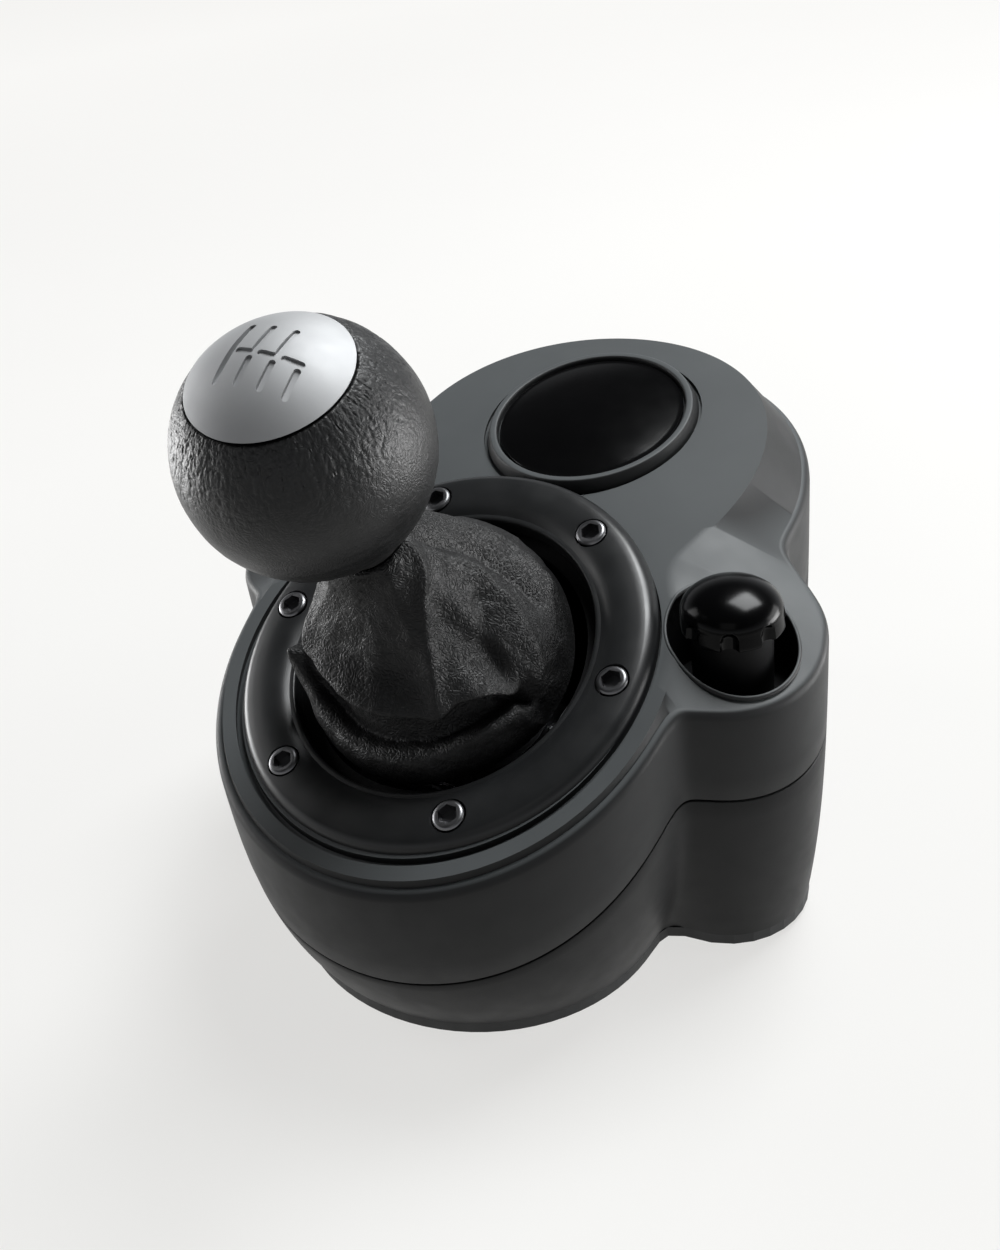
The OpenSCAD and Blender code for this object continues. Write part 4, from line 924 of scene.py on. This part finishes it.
grid = boot_surface()
normals = grid_normals(grid)
mean_h = grid[:, :, 2].mean(1)
first = int(np.argmin(np.abs(mean_h - TENT_TOP_H)))
second = int(np.argmin(np.abs(mean_h - TENT_FOOT_H)))
SHEETS = [
    ("boot_top", 0, first, "lever", "shaft"),
    ("boot_tent", first, second, "gimbal", "lever"),
    ("boot_skirt", second, len(grid) - 1, "housing", "gimbal"),
]
for name, i0, i1, low_body, high_body in SHEETS:
    g, nrm = grid[i0:i1 + 1], normals[i0:i1 + 1]
    inner = g - nrm * LEATHER
    inner[..., 2] = np.maximum(inner[..., 2], FOOT_H - 0.05)
    loop = np.concatenate([g, inner[::-1]]).reshape(-1, 3)
    boot = make(name, put(DECK, loop), strips(2 * len(g), grid.shape[1], True), 180)
    both = np.concatenate([nrm, -nrm[::-1]]).reshape(-1, 3) @ LEVER.T
    boot.data.normals_split_custom_set_from_vertices(both.tolist())
    piece(boot, None, slot="boot_leather")
    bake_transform(boot)
    if name == "boot_skirt":
        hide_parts("shift_boot")

# Camera at the photo's place
AZIMUTH, ELEVATION, ROLL = math.radians(36.96), math.radians(33.97), math.radians(-8.0)
CAMERA_AT, LENS, SENSOR = (0.1673, -0.2335, 0.2577), 40.29, 36.0
flat_share = math.cos(ELEVATION)
back = Vector((
    math.sin(AZIMUTH) * flat_share, -math.cos(AZIMUTH) * flat_share, math.sin(ELEVATION)))
level = Vector((math.cos(AZIMUTH), math.sin(AZIMUTH), 0))
upright = back.cross(level)
right = level * math.cos(ROLL) + upright * math.sin(ROLL)
up = upright * math.cos(ROLL) - level * math.sin(ROLL)
camera = bpy.data.objects.new("camera", bpy.data.cameras.new("camera"))
bpy.context.scene.collection.objects.link(camera)
axes = [(right[i], up[i], back[i], CAMERA_AT[i]) for i in range(3)]
camera.matrix_world = Matrix((*axes, (0, 0, 0, 1)))
camera.data.lens, camera.data.sensor_width = LENS, SENSOR
camera.data.clip_start = 0.01
bpy.context.scene.camera = camera
bpy.context.scene.view_settings.view_transform = "Standard"


def white_to(nt, share=None):
    """1 for the camera's rays, and 1 or a share of it for reflections and through glass."""
    ray = nt.nodes.new("ShaderNodeLightPath").outputs
    bounced = either(nt, "MAXIMUM", ray["Is Glossy Ray"], ray["Is Transmission Ray"])
    if share is not None:
        bounced = either(nt, "MULTIPLY", bounced, share)
    return either(nt, "MAXIMUM", ray["Is Camera Ray"], bounced)


# Floor: a paper that is lit like the object, and a white sweep to the camera and in reflections
REACH = 9000
corners = [(-REACH, -REACH, 0), (REACH, -REACH, 0), (REACH, REACH, 0), (-REACH, REACH, 0)]
floor = make("floor", corners, [(0, 1, 2, 3)])
m, nt, bsdf, where = shader("floor_paper")
paper = tint(nt, noise_node(nt, where, 3, 3), (0.18, 0.179, 0.176), (0.195, 0.194, 0.19))
nt.links.new(paper, bsdf.inputs["Base Color"])
bsdf.inputs["Roughness"].default_value = 0.9
bsdf.inputs["Specular IOR Level"].default_value = 0.0
far = nt.nodes.new("ShaderNodeVectorMath")
far.operation = "LENGTH"
nt.links.new(where, far.inputs[0])
# reflections of the driver's side of the floor are darker
away = nt.nodes.new("ShaderNodeVectorMath")
away.operation = "DOT_PRODUCT"
away.inputs[1].default_value = (-0.6, 0.8, 0)
nt.links.new(where, away.inputs[0])
seen = white_to(nt, spread(nt, away.outputs["Value"], 0.3, 1.0, -0.4, 0.0))
glow = either(nt, "MULTIPLY", seen, spread(nt, far.outputs["Value"], 0.67, 0.88, 0.15, 1.2))
bsdf.inputs["Emission Color"].default_value = (1.0, 0.993, 0.975, 1)
nt.links.new(glow, bsdf.inputs["Emission Strength"])
floor.data.materials.append(m)


def light(name, place, aim, size, power, beam=180, colour=(1, 1, 1)):
    data = bpy.data.lights.new(name, "AREA")
    data.shape, data.energy, data.color = "RECTANGLE", power, colour
    data.size, data.size_y = size
    data.spread = math.radians(beam)
    obj = bpy.data.objects.new(name, data)
    bpy.context.scene.collection.objects.link(obj)
    obj.location = place
    obj.rotation_euler = (Vector(aim) - Vector(place)).to_track_quat("-Z", "Y").to_euler()


light("top_back", (0.14, 0.45, 0.95), (0.02, 0.02, 0.09), (0.5, 0.5), 16, colour=(0.97, 0.99, 1))
light("left_strip", (-0.8, -0.15, 0.35), (0, -0.04, 0.1), (0.3, 0.7), 0.7, 100)
light("left_low", (-0.45, -0.09, 0.06), (0, -0.06, 0.14), (0.3, 0.11), 0.14, 60)
light("right_strip", (0.85, 0.62, 0.3), (0.03, 0, 0.09), (0.7, 0.4), 1.4, 100)
light("right_low", (0.42, 0.22, 0.07), (0, -0.06, 0.14), (0.3, 0.13), 0.26, 60)
light("front_fill", (0.3, -0.9, 0.9), (0, 0, 0.08), (0.6, 0.6), 0.4)

# Backdrop: a low white glow round the horizon for the camera and reflections, and dim elsewhere
world = bpy.data.worlds.new("studio")
bpy.context.scene.world = world
world.use_nodes = True
nt = world.node_tree
sky = nt.nodes["Background"]
sky.inputs["Color"].default_value = (0.95, 0.97, 1.0, 1)
way = nt.nodes.new("ShaderNodeTexCoord")
horizon = spread(nt, height_of(nt, way.outputs["Generated"]), 0.9, 0.03, 0.05, 0.5)
strength = nt.nodes.new("ShaderNodeMix")
nt.links.new(white_to(nt), strength.inputs[0])
strength.inputs[2].default_value = 0.05
nt.links.new(horizon, strength.inputs[3])
nt.links.new(strength.outputs[0], sky.inputs["Strength"])
